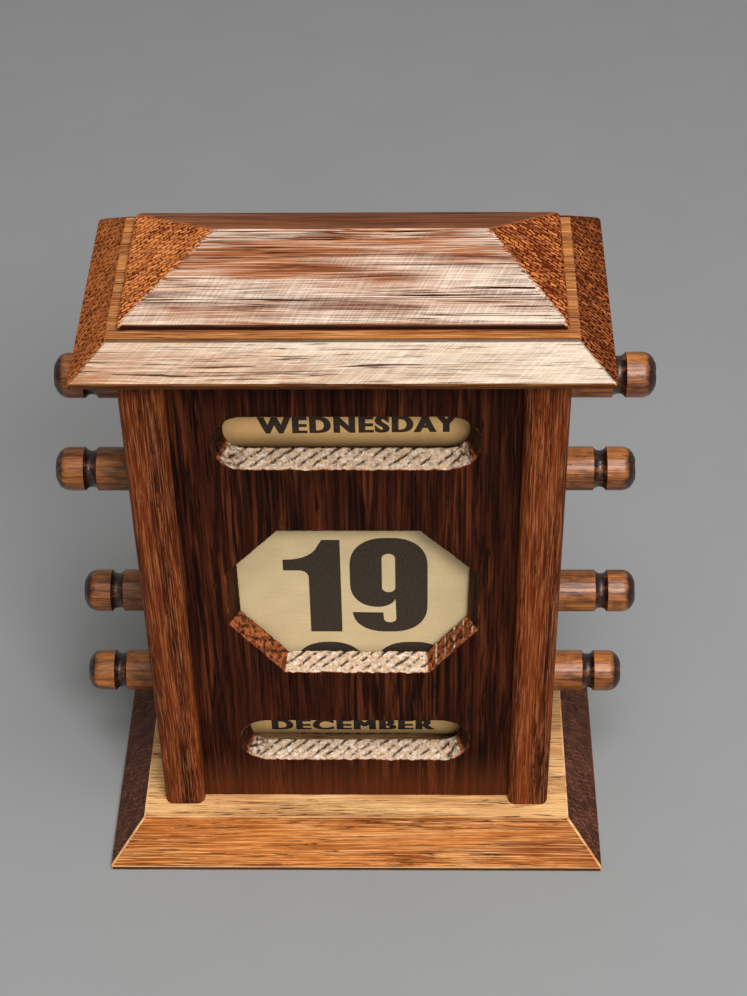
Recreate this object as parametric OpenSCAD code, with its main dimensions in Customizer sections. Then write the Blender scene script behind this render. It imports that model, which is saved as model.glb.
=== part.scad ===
// Perpetual desk calendar in varnished hardwood.
// A small case on a bevelled plinth, under a cornice board and a hipped roof cap. Three windows
// in the front panel show a day drum, a date linen and a month drum. Each of the four rollers
// turns in the side panels on a turned knob at either end.
// X runs to the right, Y to the back and Z up. The origin is the middle of the plinth's
// underside. Sizes are in millimetres.

/* [Rollers] */
// Length of each roller between its two knobs
roller_l = 100; // [90:1:115]
// Play between a roller's end and the side panel when the roller is centred
end_float = 2.45; // [2.2:0.05:4]
// Diameter over the printed band of the day drum and the month drum
drum_d = 40; // [36:0.5:44]
// Diameter of the two plain date rollers that the linen winds on
core_d = 12.7; // [12:0.1:16]
// How far the day roller has been pushed to the right
day_shift = 1.7; // [-1.8:0.1:1.8]
// How far the upper date roller has been pushed to the right
upper_shift = -1.7; // [-1.8:0.1:1.8]
// How far the lower date roller has been pushed to the right
lower_shift = 1.4; // [-1.8:0.1:1.8]
// How far the month roller has been pushed to the right
month_shift = -0.8; // [-1.8:0.1:1.8]

/* [Knobs] */
// Diameter of a knob and of the shank that turns in the side panel
knob_d = 12.7; // [11:0.1:14]
// How far a knob stands out of the side panel
knob_reach = 23.85; // [20:0.1:30]
// Length of the knob's head, from its tip to the groove
knob_head_l = 8.2; // [6:0.1:10]
// Radius of the knob's rounded tip
knob_round = 3.8; // [2:0.1:5]
// Width of the groove turned behind the head
groove_w = 3.8; // [3:0.1:5]
// Depth of that groove
groove_depth = 1.1; // [0.8:0.1:1.4]
// Diameter of the spigot that is glued into the roller's end
spigot_d = 7; // [5:0.5:8]
// Length of the spigot
spigot_l = 10; // [6:1:14]
// Running clearance all round a shank in its bore
run_gap = 0.08; // [0.05:0.01:0.1]

/* [Linen and bands] */
// Thickness of the printed date linen
linen_t = 0.3; // [0.2:0.05:0.4]
// Width of the date linen
linen_w = 92; // [88:1:96]
// Length of linen that each date takes
date_pitch = 42; // [38:1:46]
// Dates wound on the upper roller, those before the one that shows
dates_above = 18; // [0:1:30]
// Dates wound on the lower roller, those after the one that shows
dates_below = 12; // [0:1:30]
// Width of the printed bands on the day and month drums
band_w = 92; // [88:1:96]
// Thickness of those bands
band_t = 0.3; // [0.2:0.05:0.5]

/* [Date board] */
// Thickness of the board that the linen slides over
board_t = 4; // [3:0.5:5]
// How far the board reaches past the date window, above and below
board_over = 4.25; // [3:0.25:6]
// Depth of the housings that hold the board in the side panels
housing_depth = 3; // [2:0.25:4]

/* [Case] */
// Thickness of the side panels
side_t = 7; // [6:0.5:10]
// Thickness of the front panel
front_t = 6; // [5:0.5:8]
// Thickness of the back panel
back_t = 4; // [3:0.5:6]
// Width of the corner posts
post_w = 12.2; // [10:0.1:14]
// How far the posts stand in front of the front panel
post_proud = 3.8; // [2:0.1:6]
// Radius of the posts' front edges
post_round = 2.6; // [1:0.1:4]
// Space between the front panel and a printed drum
drum_front_gap = 3.5; // [2:0.1:6]
// Space between a printed drum and the back panel
drum_back_gap = 1.5; // [1:0.1:6]
// Space between the front panel and the date linen
linen_front_gap = 1.5; // [1:0.1:2.5]
// Space under the month drum
floor_gap = 5.5; // [3:0.1:12]
// Space between the month drum and the linen on the lower date roller
low_gap = 5.65; // [4:0.05:12]
// Distance between the axes of the two date rollers
date_axis_gap = 49.1; // [44:0.1:60]
// Space between the linen on the upper date roller and the day drum
high_gap = 3.85; // [3:0.05:12]
// Space over the day drum
head_gap = 8.1; // [6:0.1:16]

/* [Windows] */
// Width of the day window at the face of the panel
day_window_w = 72.6; // [60:0.2:78]
// Height of the day window
day_window_h = 18.2; // [14:0.2:20]
// Width of the date window
date_window_w = 73.8; // [60:0.2:78]
// Height of the date window
date_window_h = 56.5; // [48:0.5:60]
// Length cut from each corner of the date window
date_corner = 17; // [10:0.5:22]
// How far the date window's centre lies below the middle of its two rollers
date_window_drop = 1.2; // [0:0.1:2]
// Width of the month window
month_window_w = 69.6; // [60:0.2:78]
// Height of the month window
month_window_h = 17.5; // [14:0.1:20]
// How far every window's edge slopes inwards through the panel
window_splay = 3; // [1:0.1:4]

/* [Plinth] */
// Thickness of the plinth
base_h = 13.1; // [11:0.1:18]
// Height of the plinth's upright edge under its bevel
base_lip = 1.9; // [1:0.1:4]
// Width of the plinth's bevel in plan
base_bevel = 10.3; // [6:0.1:11]
// How far the plinth stands out beside the case
base_side = 16.55; // [14:0.05:24]
// How far the plinth stands out in front of the posts
base_front = 15.7; // [13:0.1:24]
// How far the plinth stands out behind the back panel
base_back = 11.5; // [11.2:0.1:20]

/* [Roof] */
// Thickness of the cornice board
cornice_t = 8.9; // [8:0.1:14]
// Height of the cornice board's upright edge
cornice_lip = 1.8; // [1:0.1:3]
// Width of the cornice board's bevel in plan
cornice_bevel = 9.4; // [6:0.1:10]
// How far the cornice stands out beside the case
cornice_side = 10.85; // [8:0.05:16]
// How far the cornice stands out in front of the posts
cornice_front = 8.25; // [6:0.05:14]
// How far the cornice stands out behind the back panel
cornice_back = 7.45; // [6:0.05:14]
// Flat ledge left beside the roof cap
cap_ledge_side = 2.7; // [0.5:0.1:6]
// Flat ledge left in front of the roof cap
cap_ledge_front = 3.65; // [0.5:0.05:6]
// Flat ledge left behind the roof cap
cap_ledge_back = 1.05; // [0.5:0.05:6]
// Height of the roof cap
cap_h = 14.1; // [10:0.1:20]
// Height of the roof cap's upright edge
cap_lip = 1.95; // [1:0.05:3]
// Run of the hip at the left end of the ridge, in plan
hip_left = 24.2; // [16:0.1:32]
// Run of the hip at the right end of the ridge, in plan
hip_right = 20.2; // [16:0.1:32]

/* [Fasteners] */
// Shank diameter of the steel screws in the plinth and the cornice
screw_d = 3; // [2.5:0.1:3.5]
// Head diameter of those screws
screw_head_d = 6; // [5:0.1:6.5]
// Length of the plinth screws
base_screw_l = 25; // [20:0.5:28]
// Length of the roof screws
roof_screw_l = 15; // [12:0.5:18]
// Distance between the two roof screws
roof_screw_span = 56; // [40:1:64]
// Shank diameter of the brass screws in the back panel
back_screw_d = 2.2; // [1.8:0.1:2.6]
// Head diameter of the brass screws
back_screw_head_d = 4.4; // [3.6:0.1:5]
// Length of the brass screws
back_screw_l = 12; // [8:0.5:14]
// Distance from the case's top or bottom to the nearest brass screw
back_screw_margin = 16; // [15:0.5:24]
// Diameter of the dowels between the side panels and the cornice
dowel_d = 4; // [3:0.5:5]
// How far a dowel goes up into the cornice
dowel_up = 6; // [4:0.5:7]
// How far a dowel goes down into the side panel
dowel_down = 9; // [6:0.5:10]
// Distance from a side panel's front or back edge to its dowel and plinth screw
joint_margin = 10; // [8:0.5:12]
// How far the screw heads lie below the surface
head_recess = 0.4; // [0.2:0.1:1]
// Glue or sliding clearance between two pieces that don't turn
fit_gap = 0.05; // [0.02:0.01:0.1]

/* [Hidden] */
$fn = 72;
cut = 1; // how far a cutting shape runs past the face that it opens

drum_r = drum_d / 2;
core_r = core_d / 2;
knob_r = knob_d / 2;
coil_run_gap = 0.3; // between the turning coil and the linen that leads to it
board_run_gap = 0.1; // between the linen and the board that it slides over

// Radius of a roller wound with the linen of so many dates
function wound_r(dates) = sqrt(core_r * core_r + dates * date_pitch * linen_t / PI);
upper_coil_r = wound_r(dates_above);
lower_coil_r = wound_r(dates_below);

// Across the case
case_in_w = roller_l + 2 * end_float;
case_w = case_in_w + 2 * side_t;
side_mid_x = case_w / 2 - side_t / 2;
knob_l = end_float + side_t + knob_reach;

// From front to back. The plinth is centred on Y = 0
side_d = drum_front_gap + drum_d + drum_back_gap;
case_d = post_proud + front_t + side_d + back_t;
base_d = base_front + case_d + base_back;
post_face_y = base_front - base_d / 2;
panel_face_y = post_face_y + post_proud;
side_front_y = panel_face_y + front_t;
side_back_y = side_front_y + side_d;
back_face_y = side_back_y + back_t;
axis_y = side_front_y + drum_front_gap + drum_r;

// Up the case
month_z = base_h + floor_gap + drum_r;
lower_z = month_z + drum_r + low_gap + lower_coil_r;
upper_z = lower_z + date_axis_gap;
day_z = upper_z + upper_coil_r + high_gap + drum_r;
case_top_z = day_z + drum_r + head_gap;
case_h = case_top_z - base_h;
date_window_z = (lower_z + upper_z) / 2 - date_window_drop;

// Board behind the date window, with a round nose along its top and bottom edges
board_r = board_t / 2;
board_y = side_front_y + linen_front_gap + linen_t + board_run_gap + board_r;
board_top_z = date_window_z + date_window_h / 2 + board_over;
board_bottom_z = date_window_z - date_window_h / 2 - board_over;

// Roof
cornice_w = case_w + 2 * cornice_side;
cornice_y = [post_face_y - cornice_front, back_face_y + cornice_back];
cornice_top_z = case_top_z + cornice_t;
cap_x = cornice_w / 2 - cornice_bevel - cap_ledge_side;
cap_y = [cornice_y[0] + cornice_bevel + cap_ledge_front, cornice_y[1] - cornice_bevel - cap_ledge_back];
cap_mid_y = (cap_y[0] + cap_y[1]) / 2;

// Colours
warm_oak = "#A9642F";
mid_oak = "#7A4122";
dark_oak = "#4A2517";
pale_wood = "#C9A878";
knob_wood = "#9A5A2C";
aged_linen = "#CDBB93";
brass = "#B8923F";
steel = "#8C8C90";

// ---- Shared shapes ----

// Extrudes a profile drawn in Y and Z along X, centred on X = 0
module along_x(l) rotate([90, 0, 90]) linear_extrude(l, center = true) children();

// Extrudes a profile drawn in X and Z along Y, from y0 to y1
module along_y(y0, y1)
    translate([0, y1, 0]) rotate([90, 0, 0]) linear_extrude(y1 - y0) children();

// A cylinder along X, centred on X = 0
module rod(l, d) rotate([0, 90, 0]) cylinder(h = l, d = d, center = true);

// A board whose top edges are bevelled all round over an upright lip
module bevelled_board(half_w, y, h, lip, bevel) intersection() {
    along_y(y[0], y[1]) polygon([
        [-half_w, 0], [half_w, 0], [half_w, lip],
        [half_w - bevel, h], [bevel - half_w, h], [-half_w, lip]
    ]);
    along_x(2 * half_w) polygon([
        [y[0], 0], [y[1], 0], [y[1], lip],
        [y[1] - bevel, h], [y[0] + bevel, h], [y[0], lip]
    ]);
}

// A countersunk screw that points up from the flat face of its head at Z = 0.
// The same shape with a clearance all round is its hole
module screw_body(d, head_d, l, gap = 0) {
    head_h = (head_d - d) / 2;
    cylinder(h = head_h, d1 = head_d + 2 * gap, d2 = d + 2 * gap);
    cylinder(h = l - d, d = d + 2 * gap);
    translate([0, 0, l - d]) cylinder(h = d, d1 = d + 2 * gap, d2 = d / 3 + 2 * gap);
}

module slotted_screw(d, head_d, l) difference() {
    screw_body(d, head_d, l);
    cube([head_d + cut, d / 4, d / 2], center = true);
}

module screw_hole(d, head_d, l) {
    screw_body(d, head_d, l + fit_gap, fit_gap);
    translate([0, 0, -head_recess - cut])
        cylinder(h = head_recess + cut, d = head_d + 2 * fit_gap);
}

// ---- Places that several pieces share ----

// The four joints between the side panels and what lies under and over them
module at_side_joints()
    for (x = [-side_mid_x, side_mid_x], y = [side_front_y + joint_margin, side_back_y - joint_margin])
        translate([x, y, 0]) children();

module at_base_screws() at_side_joints() translate([0, 0, head_recess]) children();

module at_dowels() at_side_joints() translate([0, 0, case_top_z - dowel_down]) children();

// Three brass screws down each edge of the back panel, pointing forwards
module at_back_screws()
    for (x = [-side_mid_x, side_mid_x])
        for (z = [base_h + back_screw_margin, base_h + case_h / 2, case_top_z - back_screw_margin])
            translate([x, back_face_y - head_recess, z]) rotate([90, 0, 0]) children();

module at_roof_screws()
    for (x = [-roof_screw_span / 2, roof_screw_span / 2])
        translate([x, cap_mid_y, case_top_z + head_recess]) children();

module at_roller(z, shift) translate([shift, axis_y, z]) children();

// ---- Windows ----

// One pair of edges of a window, half apart from the centre line at the panel's face, that slope
// inwards behind it. The pair is drawn upright and turned by an angle about Y
module window_edges(half, angle, l) {
    slope = window_splay / front_t;
    rotate([0, angle, 0]) linear_extrude(l, center = true) polygon([
        [-half - slope * cut, -cut], [half + slope * cut, -cut],
        [half - window_splay - slope * cut, front_t + cut],
        [window_splay + slope * cut - half, front_t + cut]
    ]);
}

// A slot with round ends
module slot_window(w, h, z) translate([0, panel_face_y, z]) {
    slope = window_splay / front_t;
    window_edges(h / 2, 90, w - h);
    for (x = [h / 2 - w / 2, w / 2 - h / 2])
        translate([x, -cut, 0]) rotate([-90, 0, 0]) cylinder(
            h = front_t + 2 * cut,
            r1 = h / 2 + slope * cut,
            r2 = h / 2 - window_splay - slope * cut
        );
}

// A rectangle with its corners cut off at 45 degrees
module octagon_window(w, h, corner, z) translate([0, panel_face_y, z]) {
    diagonal = (w / 2 + h / 2 - corner) / sqrt(2);
    intersection() {
        window_edges(w / 2, 0, 2 * h);
        window_edges(h / 2, 90, 2 * w);
        window_edges(diagonal, 45, 2 * w);
        window_edges(diagonal, -45, 2 * w);
    }
}

// ---- Case ----

module base_plinth() color(warm_oak) difference() {
    bevelled_board(case_w / 2 + base_side, [-base_d / 2, base_d / 2], base_h, base_lip, base_bevel);
    at_base_screws() screw_hole(screw_d, screw_head_d, base_screw_l);
}

// Outline of the date board's section, with round edges, grown by a clearance
module board_section(gap = 0) {
    for (z = [board_bottom_z + board_r, board_top_z - board_r])
        translate([board_y, z]) circle(board_r + gap);
    translate([board_y - board_r - gap, board_bottom_z + board_r])
        square([board_t + 2 * gap, board_top_z - board_bottom_z - board_t]);
}

// Both side panels are cut by the same tools, which lie alike to left and right
module side_panel(side) color(dark_oak) difference() {
    translate([side * side_mid_x, (side_front_y + side_back_y) / 2, base_h + case_h / 2])
        cube([side_t, side_d, case_h], center = true);
    for (z = [month_z, lower_z, upper_z, day_z])
        at_roller(z, 0) rod(case_w + 2 * cut, knob_d + 2 * run_gap);
    along_x(case_in_w + 2 * housing_depth + 2 * fit_gap) board_section(fit_gap);
    at_base_screws() screw_hole(screw_d, screw_head_d, base_screw_l);
    at_back_screws() screw_hole(back_screw_d, back_screw_head_d, back_screw_l);
    at_dowels() dowel(fit_gap);
}

module side_left() side_panel(-1);

module side_right() side_panel(1);

module front_panel() color(dark_oak) difference() {
    translate([post_w - case_w / 2, panel_face_y, base_h])
        cube([case_w - 2 * post_w, front_t, case_h]);
    slot_window(day_window_w, day_window_h, day_z);
    octagon_window(date_window_w, date_window_h, date_corner, date_window_z);
    slot_window(month_window_w, month_window_h, month_z);
}

// A corner post, drawn on the left, with its two front edges rounded
module post() translate([-case_w / 2, post_face_y, base_h]) linear_extrude(case_h) {
    translate([0, post_round]) square([post_w, post_proud + front_t - post_round]);
    translate([post_round, 0]) square([post_w - 2 * post_round, post_proud]);
    for (x = [post_round, post_w - post_round])
        translate([x, post_round]) circle(post_round);
}

module post_left() color(mid_oak) post();

module post_right() color(mid_oak) mirror([1, 0, 0]) post();

module back_panel() color(dark_oak) difference() {
    translate([-case_w / 2, side_back_y, base_h]) cube([case_w, back_t, case_h]);
    at_back_screws() screw_hole(back_screw_d, back_screw_head_d, back_screw_l);
}

module cornice_board() color(warm_oak) difference() {
    translate([0, 0, case_top_z])
        bevelled_board(cornice_w / 2, cornice_y, cornice_t, cornice_lip, cornice_bevel);
    at_dowels() dowel(fit_gap);
    at_roof_screws() screw_hole(screw_d, screw_head_d, roof_screw_l);
}

// The cap is a hipped roof whose ridge runs along X
module roof_cap() color(warm_oak) difference() {
    translate([0, 0, cornice_top_z]) intersection() {
        along_y(cap_y[0], cap_y[1]) polygon([
            [-cap_x, 0], [cap_x, 0], [cap_x, cap_lip],
            [cap_x - hip_right, cap_h], [hip_left - cap_x, cap_h], [-cap_x, cap_lip]
        ]);
        along_x(2 * cap_x) polygon([
            [cap_y[0], 0], [cap_y[1], 0], [cap_y[1], cap_lip],
            [cap_mid_y, cap_h], [cap_y[0], cap_lip]
        ]);
    }
    at_roof_screws() screw_hole(screw_d, screw_head_d, roof_screw_l);
}

module date_board() color(pale_wood) along_x(case_in_w + 2 * housing_depth) board_section();

// ---- Date linen between the two rollers ----

// A point at an angle on a circle
function on_circle(centre, r, angle) = centre + r * [cos(angle), sin(angle)];

// Points along an arc in twelve steps
function arc(centre, r, from, to) =
    [for (i = [0:12]) on_circle(centre, r, from + (to - from) * i / 12)];

// Angle at which a straight stretch of linen touches both the board's nose and a coil.
// side is 1 where it passes over them and -1 where it passes under
function touch_angle(nose, nose_r, coil, coil_r, side) =
    let (d = coil - nose) atan2(d[1], d[0]) + side * acos((nose_r - coil_r) / norm(d));

// The linen comes off the lower coil, round the board's lower nose, up its face, over its
// upper nose and on to the upper coil
module date_linen() color(aged_linen) along_x(linen_w) {
    nose_r = board_r + board_run_gap;
    upper_nose = [board_y, board_top_z - board_r];
    lower_nose = [board_y, board_bottom_z + board_r];
    upper_coil = [axis_y, upper_z];
    lower_coil = [axis_y, lower_z];
    upper_r = upper_coil_r + coil_run_gap;
    lower_r = lower_coil_r + coil_run_gap;
    upper_touch = touch_angle(upper_nose, nose_r, upper_coil, upper_r, 1);
    lower_touch = touch_angle(lower_nose, nose_r, lower_coil, lower_r, -1) + 360;
    polygon([
        on_circle(upper_coil, upper_r + linen_t, upper_touch),
        each arc(upper_nose, nose_r + linen_t, upper_touch, 180),
        each arc(lower_nose, nose_r + linen_t, 180, lower_touch),
        on_circle(lower_coil, lower_r + linen_t, lower_touch),
        on_circle(lower_coil, lower_r, lower_touch),
        each arc(lower_nose, nose_r, lower_touch, 180),
        each arc(upper_nose, nose_r, 180, upper_touch),
        on_circle(upper_coil, upper_r, upper_touch)
    ]);
}

// ---- Rollers, drums and knobs ----

// A turned roller with a blind bore in either end for the knobs' spigots
module roller(d) difference() {
    rod(roller_l, d);
    for (side = [-1, 1])
        translate([side * roller_l / 2, 0, 0])
            rod(2 * (spigot_l + fit_gap), spigot_d + 2 * fit_gap);
}

// A layer wound or glued round a roller
module sleeve(l, inner_r, outer_r) difference() {
    rod(l, 2 * outer_r);
    rod(l + 2 * cut, 2 * inner_r);
}

// Half section of a knob, with its radius along X and its length along Y from the tip
module knob_section() difference() {
    cove_r = (groove_w * groove_w / 4 + groove_depth * groove_depth) / (2 * groove_depth);
    union() {
        square([knob_r - knob_round, knob_round]);
        intersection() {
            square([knob_r, knob_round]);
            translate([knob_r - knob_round, knob_round]) circle(knob_round);
        }
        translate([0, knob_round]) square([knob_r, knob_l - knob_round]);
        square([spigot_d / 2, knob_l + spigot_l]);
    }
    translate([knob_r + cove_r - groove_depth, knob_head_l + groove_w / 2]) circle(cove_r);
}

// side is -1 for the knob on the left and 1 for the one on the right
module knob(side) color(knob_wood)
    translate([side * (roller_l / 2 + knob_l), 0, 0])
        rotate([0, -side * 90, 0]) rotate_extrude() knob_section();

module printed_drum() color(pale_wood) roller(drum_d - 2 * band_t - 2 * fit_gap);

module printed_band() color(aged_linen) sleeve(band_w, drum_r - band_t, drum_r);

module linen_roller() color(pale_wood) roller(core_d);

module linen_coil(outer_r) color(aged_linen) sleeve(linen_w, core_r + fit_gap, outer_r);

module day_drum() at_roller(day_z, day_shift) printed_drum();

module day_band() at_roller(day_z, day_shift) printed_band();

module day_knob_left() at_roller(day_z, day_shift) knob(-1);

module day_knob_right() at_roller(day_z, day_shift) knob(1);

module upper_date_roller() at_roller(upper_z, upper_shift) linen_roller();

module upper_date_coil() at_roller(upper_z, 0) linen_coil(upper_coil_r);

module upper_date_knob_left() at_roller(upper_z, upper_shift) knob(-1);

module upper_date_knob_right() at_roller(upper_z, upper_shift) knob(1);

module lower_date_roller() at_roller(lower_z, lower_shift) linen_roller();

module lower_date_coil() at_roller(lower_z, 0) linen_coil(lower_coil_r);

module lower_date_knob_left() at_roller(lower_z, lower_shift) knob(-1);

module lower_date_knob_right() at_roller(lower_z, lower_shift) knob(1);

module month_drum() at_roller(month_z, month_shift) printed_drum();

module month_band() at_roller(month_z, month_shift) printed_band();

module month_knob_left() at_roller(month_z, month_shift) knob(-1);

module month_knob_right() at_roller(month_z, month_shift) knob(1);

// ---- Fasteners ----

module dowel(gap = 0)
    translate([0, 0, -gap]) cylinder(h = dowel_down + dowel_up + 2 * gap, d = dowel_d + 2 * gap);

module base_screws() color(steel) at_base_screws() slotted_screw(screw_d, screw_head_d, base_screw_l);

module back_screws() color(brass)
    at_back_screws() slotted_screw(back_screw_d, back_screw_head_d, back_screw_l);

module roof_screws() color(steel) at_roof_screws() slotted_screw(screw_d, screw_head_d, roof_screw_l);

module cornice_dowels() color(pale_wood) at_dowels() dowel();

base_plinth();
side_left();
side_right();
front_panel();
post_left();
post_right();
back_panel();
cornice_board();
roof_cap();
date_board();
date_linen();
day_drum();
day_band();
day_knob_left();
day_knob_right();
upper_date_roller();
upper_date_coil();
upper_date_knob_left();
upper_date_knob_right();
lower_date_roller();
lower_date_coil();
lower_date_knob_left();
lower_date_knob_right();
month_drum();
month_band();
month_knob_left();
month_knob_right();
base_screws();
back_screws();
roof_screws();
cornice_dowels();
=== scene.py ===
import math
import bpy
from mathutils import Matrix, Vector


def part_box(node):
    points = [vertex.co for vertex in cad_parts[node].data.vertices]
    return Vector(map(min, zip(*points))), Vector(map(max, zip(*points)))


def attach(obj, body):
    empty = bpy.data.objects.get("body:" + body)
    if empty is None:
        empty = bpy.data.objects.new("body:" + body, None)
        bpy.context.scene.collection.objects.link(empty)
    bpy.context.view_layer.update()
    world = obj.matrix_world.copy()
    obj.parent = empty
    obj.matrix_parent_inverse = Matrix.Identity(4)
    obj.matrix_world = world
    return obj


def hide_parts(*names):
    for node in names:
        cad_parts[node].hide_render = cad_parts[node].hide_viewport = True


bl_info = {
    "name": "Perpetual Desk Calendar",
    "version": (1, 0, 0),
    "blender": (4, 5, 0),
    "location": "3D View > Sidebar > Calendar",
    "description": "Dresses a packed desk calendar in oak, linen, paper and ink, and lights it",
    "category": "Object",
}

import bmesh
import bpy
import mathutils.noise
from bpy.props import FloatProperty, FloatVectorProperty, PointerProperty
from mathutils import Matrix, Vector

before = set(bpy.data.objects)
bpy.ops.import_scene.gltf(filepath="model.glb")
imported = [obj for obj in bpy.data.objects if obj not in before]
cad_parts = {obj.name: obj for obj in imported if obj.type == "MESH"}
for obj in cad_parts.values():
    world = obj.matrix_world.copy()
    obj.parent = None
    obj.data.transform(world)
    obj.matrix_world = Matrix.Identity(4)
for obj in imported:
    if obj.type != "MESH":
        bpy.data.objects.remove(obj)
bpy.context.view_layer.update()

MM = 0.001

# The photograph's frame in pixels, and the lens as its focal length in those pixels.
PHOTO_HEIGHT = 996
FOCAL_PIXELS = 2124.69
FILM_SIDE = 36.0
CAMERA_PLACE = (0.01988, -0.45685, 0.52547)
CAMERA_YAW = math.radians(-1.68)
CAMERA_PITCH = math.radians(-41.81)
CAMERA_ROLL = math.radians(-1.13)

# The lights and the floor, in metres, and the colour of the light from all round.
KEY_PLACE = (0.34, -0.86, 1.05)
KEY_SIZE = (0.5, 0.4)
TOP_PLACE = (0.15, -0.3, 1.25)
TOP_SIZE = (0.62, 0.42)
LIGHT_AIM = (0.0, 0.0, 0.11)
FLOOR_REACH = 12.0
AMBIENT_COLOUR = "#F4F2EE"

# The nodes that share a finish.
PANEL_NODES = ("side_left", "side_right", "back_panel")
POST_NODES = ("post_left", "post_right")
KNOB_ENDS = ("day_knob", "upper_date_knob", "lower_date_knob", "month_knob")
KNOB_FINISH = "varnished_turned_oak_"
DRUM_NODES = ("day_drum", "month_drum", "upper_date_roller", "lower_date_roller")
PLAIN_WOOD_NODES = ("date_board", *DRUM_NODES, "cornice_dowels")
METAL_COLOURS = {"dulled_brass": "#B08D4A", "dulled_zinc_steel": "#9A9C9E"}

DAY_NAMES = ("WEDNESDAY", "THURSDAY", "FRIDAY", "SATURDAY", "SUNDAY", "MONDAY", "TUESDAY")
MONTH_NAMES = (
    *("DECEMBER", "JANUARY", "FEBRUARY", "MARCH", "APRIL", "MAY"),
    *("JUNE", "JULY", "AUGUST", "SEPTEMBER", "OCTOBER", "NOVEMBER"),
)


def linear(hex_colour):
    """The linear red, green and blue of an sRGB hex colour."""
    channels = [int(hex_colour[i : i + 2], 16) / 255 for i in (1, 3, 5)]
    return tuple(c / 12.92 if c <= 0.04045 else ((c + 0.055) / 1.055) ** 2.4 for c in channels)


def rgba(colour):
    """A colour with full alpha, for a node socket."""
    return (*colour, 1.0)


def colour_prop(label, told, hex_colour):
    """A colour setting whose default is an sRGB hex colour."""
    return FloatVectorProperty(
        name=label,
        description=told,
        subtype="COLOR",
        size=3,
        min=0.0,
        max=1.0,
        default=linear(hex_colour),
    )


def number_prop(label, told, default, subtype, unit="NONE", **limits):
    """A number setting."""
    return FloatProperty(name=label, description=told, default=default, subtype=subtype, unit=unit, **limits)


def length_prop(label, told, default_mm, **limits):
    """A length setting whose default is given in millimetres."""
    return number_prop(label, told, default_mm * MM, "DISTANCE", "LENGTH", **limits)


class CalendarWood(bpy.types.PropertyGroup):
    """Colours and edges of the wood."""

    board_light: colour_prop("Board, light", "Summer grain of the varnished boards", "#D27A32")
    board_dark: colour_prop("Board, dark", "Winter grain of the varnished boards", "#84400F")
    board_pore: colour_prop("Board, pores", "Stain that stayed in the open pores", "#2E140A")
    cornice_light: colour_prop("Cornice, light", "Summer grain of the cornice board", "#CC8440")
    cornice_dark: colour_prop("Cornice, dark", "Winter grain of the cornice board", "#8A4A26")
    cap_light: colour_prop("Cap, light", "Summer grain of the roof cap", "#AE6A3E")
    cap_dark: colour_prop("Cap, dark", "Winter grain of the roof cap", "#64301A")
    # Painted light: the plinth's top, paler where the light falls on it, and its high grain.
    board_worn: colour_prop("Board, worn", "Where the plinth's top lost its stain", "#F8C484")
    # Painted sheen on the cornice's bevel.
    sanded: colour_prop("Sanded", "The cornice's bevel, sanded nearly bare", "#DDCCB6")
    # Painted sheen on the cap's high grain and front slope.
    rubbed: colour_prop("Rubbed grain", "High grain on the cap that hands rubbed pale", "#E2CCB8")
    edge: colour_prop("Rubbed edge", "Edges where the stain has gone", "#F6C68C")
    board_end_light: colour_prop("Board end, light", "Flecks on the end grain", "#DC8648")
    board_end_dark: colour_prop("Board end, dark", "End grain that drank the stain", "#521A08")
    cornice_end_light: colour_prop("Cornice end, light", "Flecks on the cornice's ends", "#B86A34")
    cornice_end_dark: colour_prop("Cornice end, dark", "Dark ends of the cornice", "#3E1408")
    plinth_end_light: colour_prop("Plinth end, light", "Flecks on the plinth's ends", "#7C4A30")
    plinth_end_dark: colour_prop("Plinth end, dark", "Dark ends of the plinth", "#30130C")
    post_light: colour_prop("Post, light", "Worn summer grain of the posts", "#96451C")
    post_dark: colour_prop("Post, dark", "Stained grain of the posts", "#3C1708")
    panel_light: colour_prop("Panel, light", "Reddish streaks of the dark panels", "#451D0E")
    panel_dark: colour_prop("Panel, dark", "Stained ground of the dark panels", "#140503")
    panel_pore: colour_prop("Panel, pores", "Nearly black pores of the dark panels", "#120705")
    # The panels' streaks where the stain is thin, and the painted light that the plinth throws back up low
    # on the front panel.
    panel_worn: colour_prop("Panel, worn", "Where the panel's stain is thin", "#7C3E20")
    raw_white: colour_prop("Cut end, glints", "Torn fibres that catch the light", "#F6EEE4")
    raw_light: colour_prop("Cut end, light", "Unstained fibres in the window cuts", "#DDBC9C")
    raw_brown: colour_prop("Cut end, brown", "Hollows between the cut fibres", "#B09272")
    raw_dark: colour_prop("Cut end, dark", "Dirt where the saw tore the fibres out", "#3A2418")
    raw_orange: colour_prop("Cut side, orange", "Slanting cuts that took some stain", "#AC6036")
    knob_light: colour_prop("Knob, light", "Polished summer grain of the knobs", "#C4742E")
    knob_dark: colour_prop("Knob, dark", "Stained grain of the knobs", "#5A280C")
    # Dark varnish in the knobs' grooves and on their tips, which also paints their shade.
    knob_varnish_and_shade: colour_prop("Knob, varnish", "Dark varnish in a knob's groove", "#240C03")
    plain: colour_prop("Plain wood", "Bare beech of the drums, rollers and board", "#C9A878")
    plain_dark: colour_prop("Plain wood, dark", "Flecks of the bare beech", "#8A6A44")
    edge_wear: length_prop(
        "Edge wear", "Width of the rubbed edge on the boards and panels", 0.45, min=0.05 * MM, max=2.0 * MM
    )


class CalendarPrint(bpy.types.PropertyGroup):
    """The linen, the paper and what is printed on them."""

    linen: colour_prop("Linen", "Aged linen behind the date window", "#E6CA98")
    paper: colour_prop("Paper", "Aged paper of the day and month bands", "#F6C682")
    ink: colour_prop("Ink", "Printing ink", "#362C24")
    name_height: length_prop("Name height", "Height of the capitals of the day and month names", 6.4)
    date_height: length_prop("Date height", "Height of the date numerals", 36.9)
    date_pitch: length_prop("Date pitch", "From one date to the next along the linen", 42.0)


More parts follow.
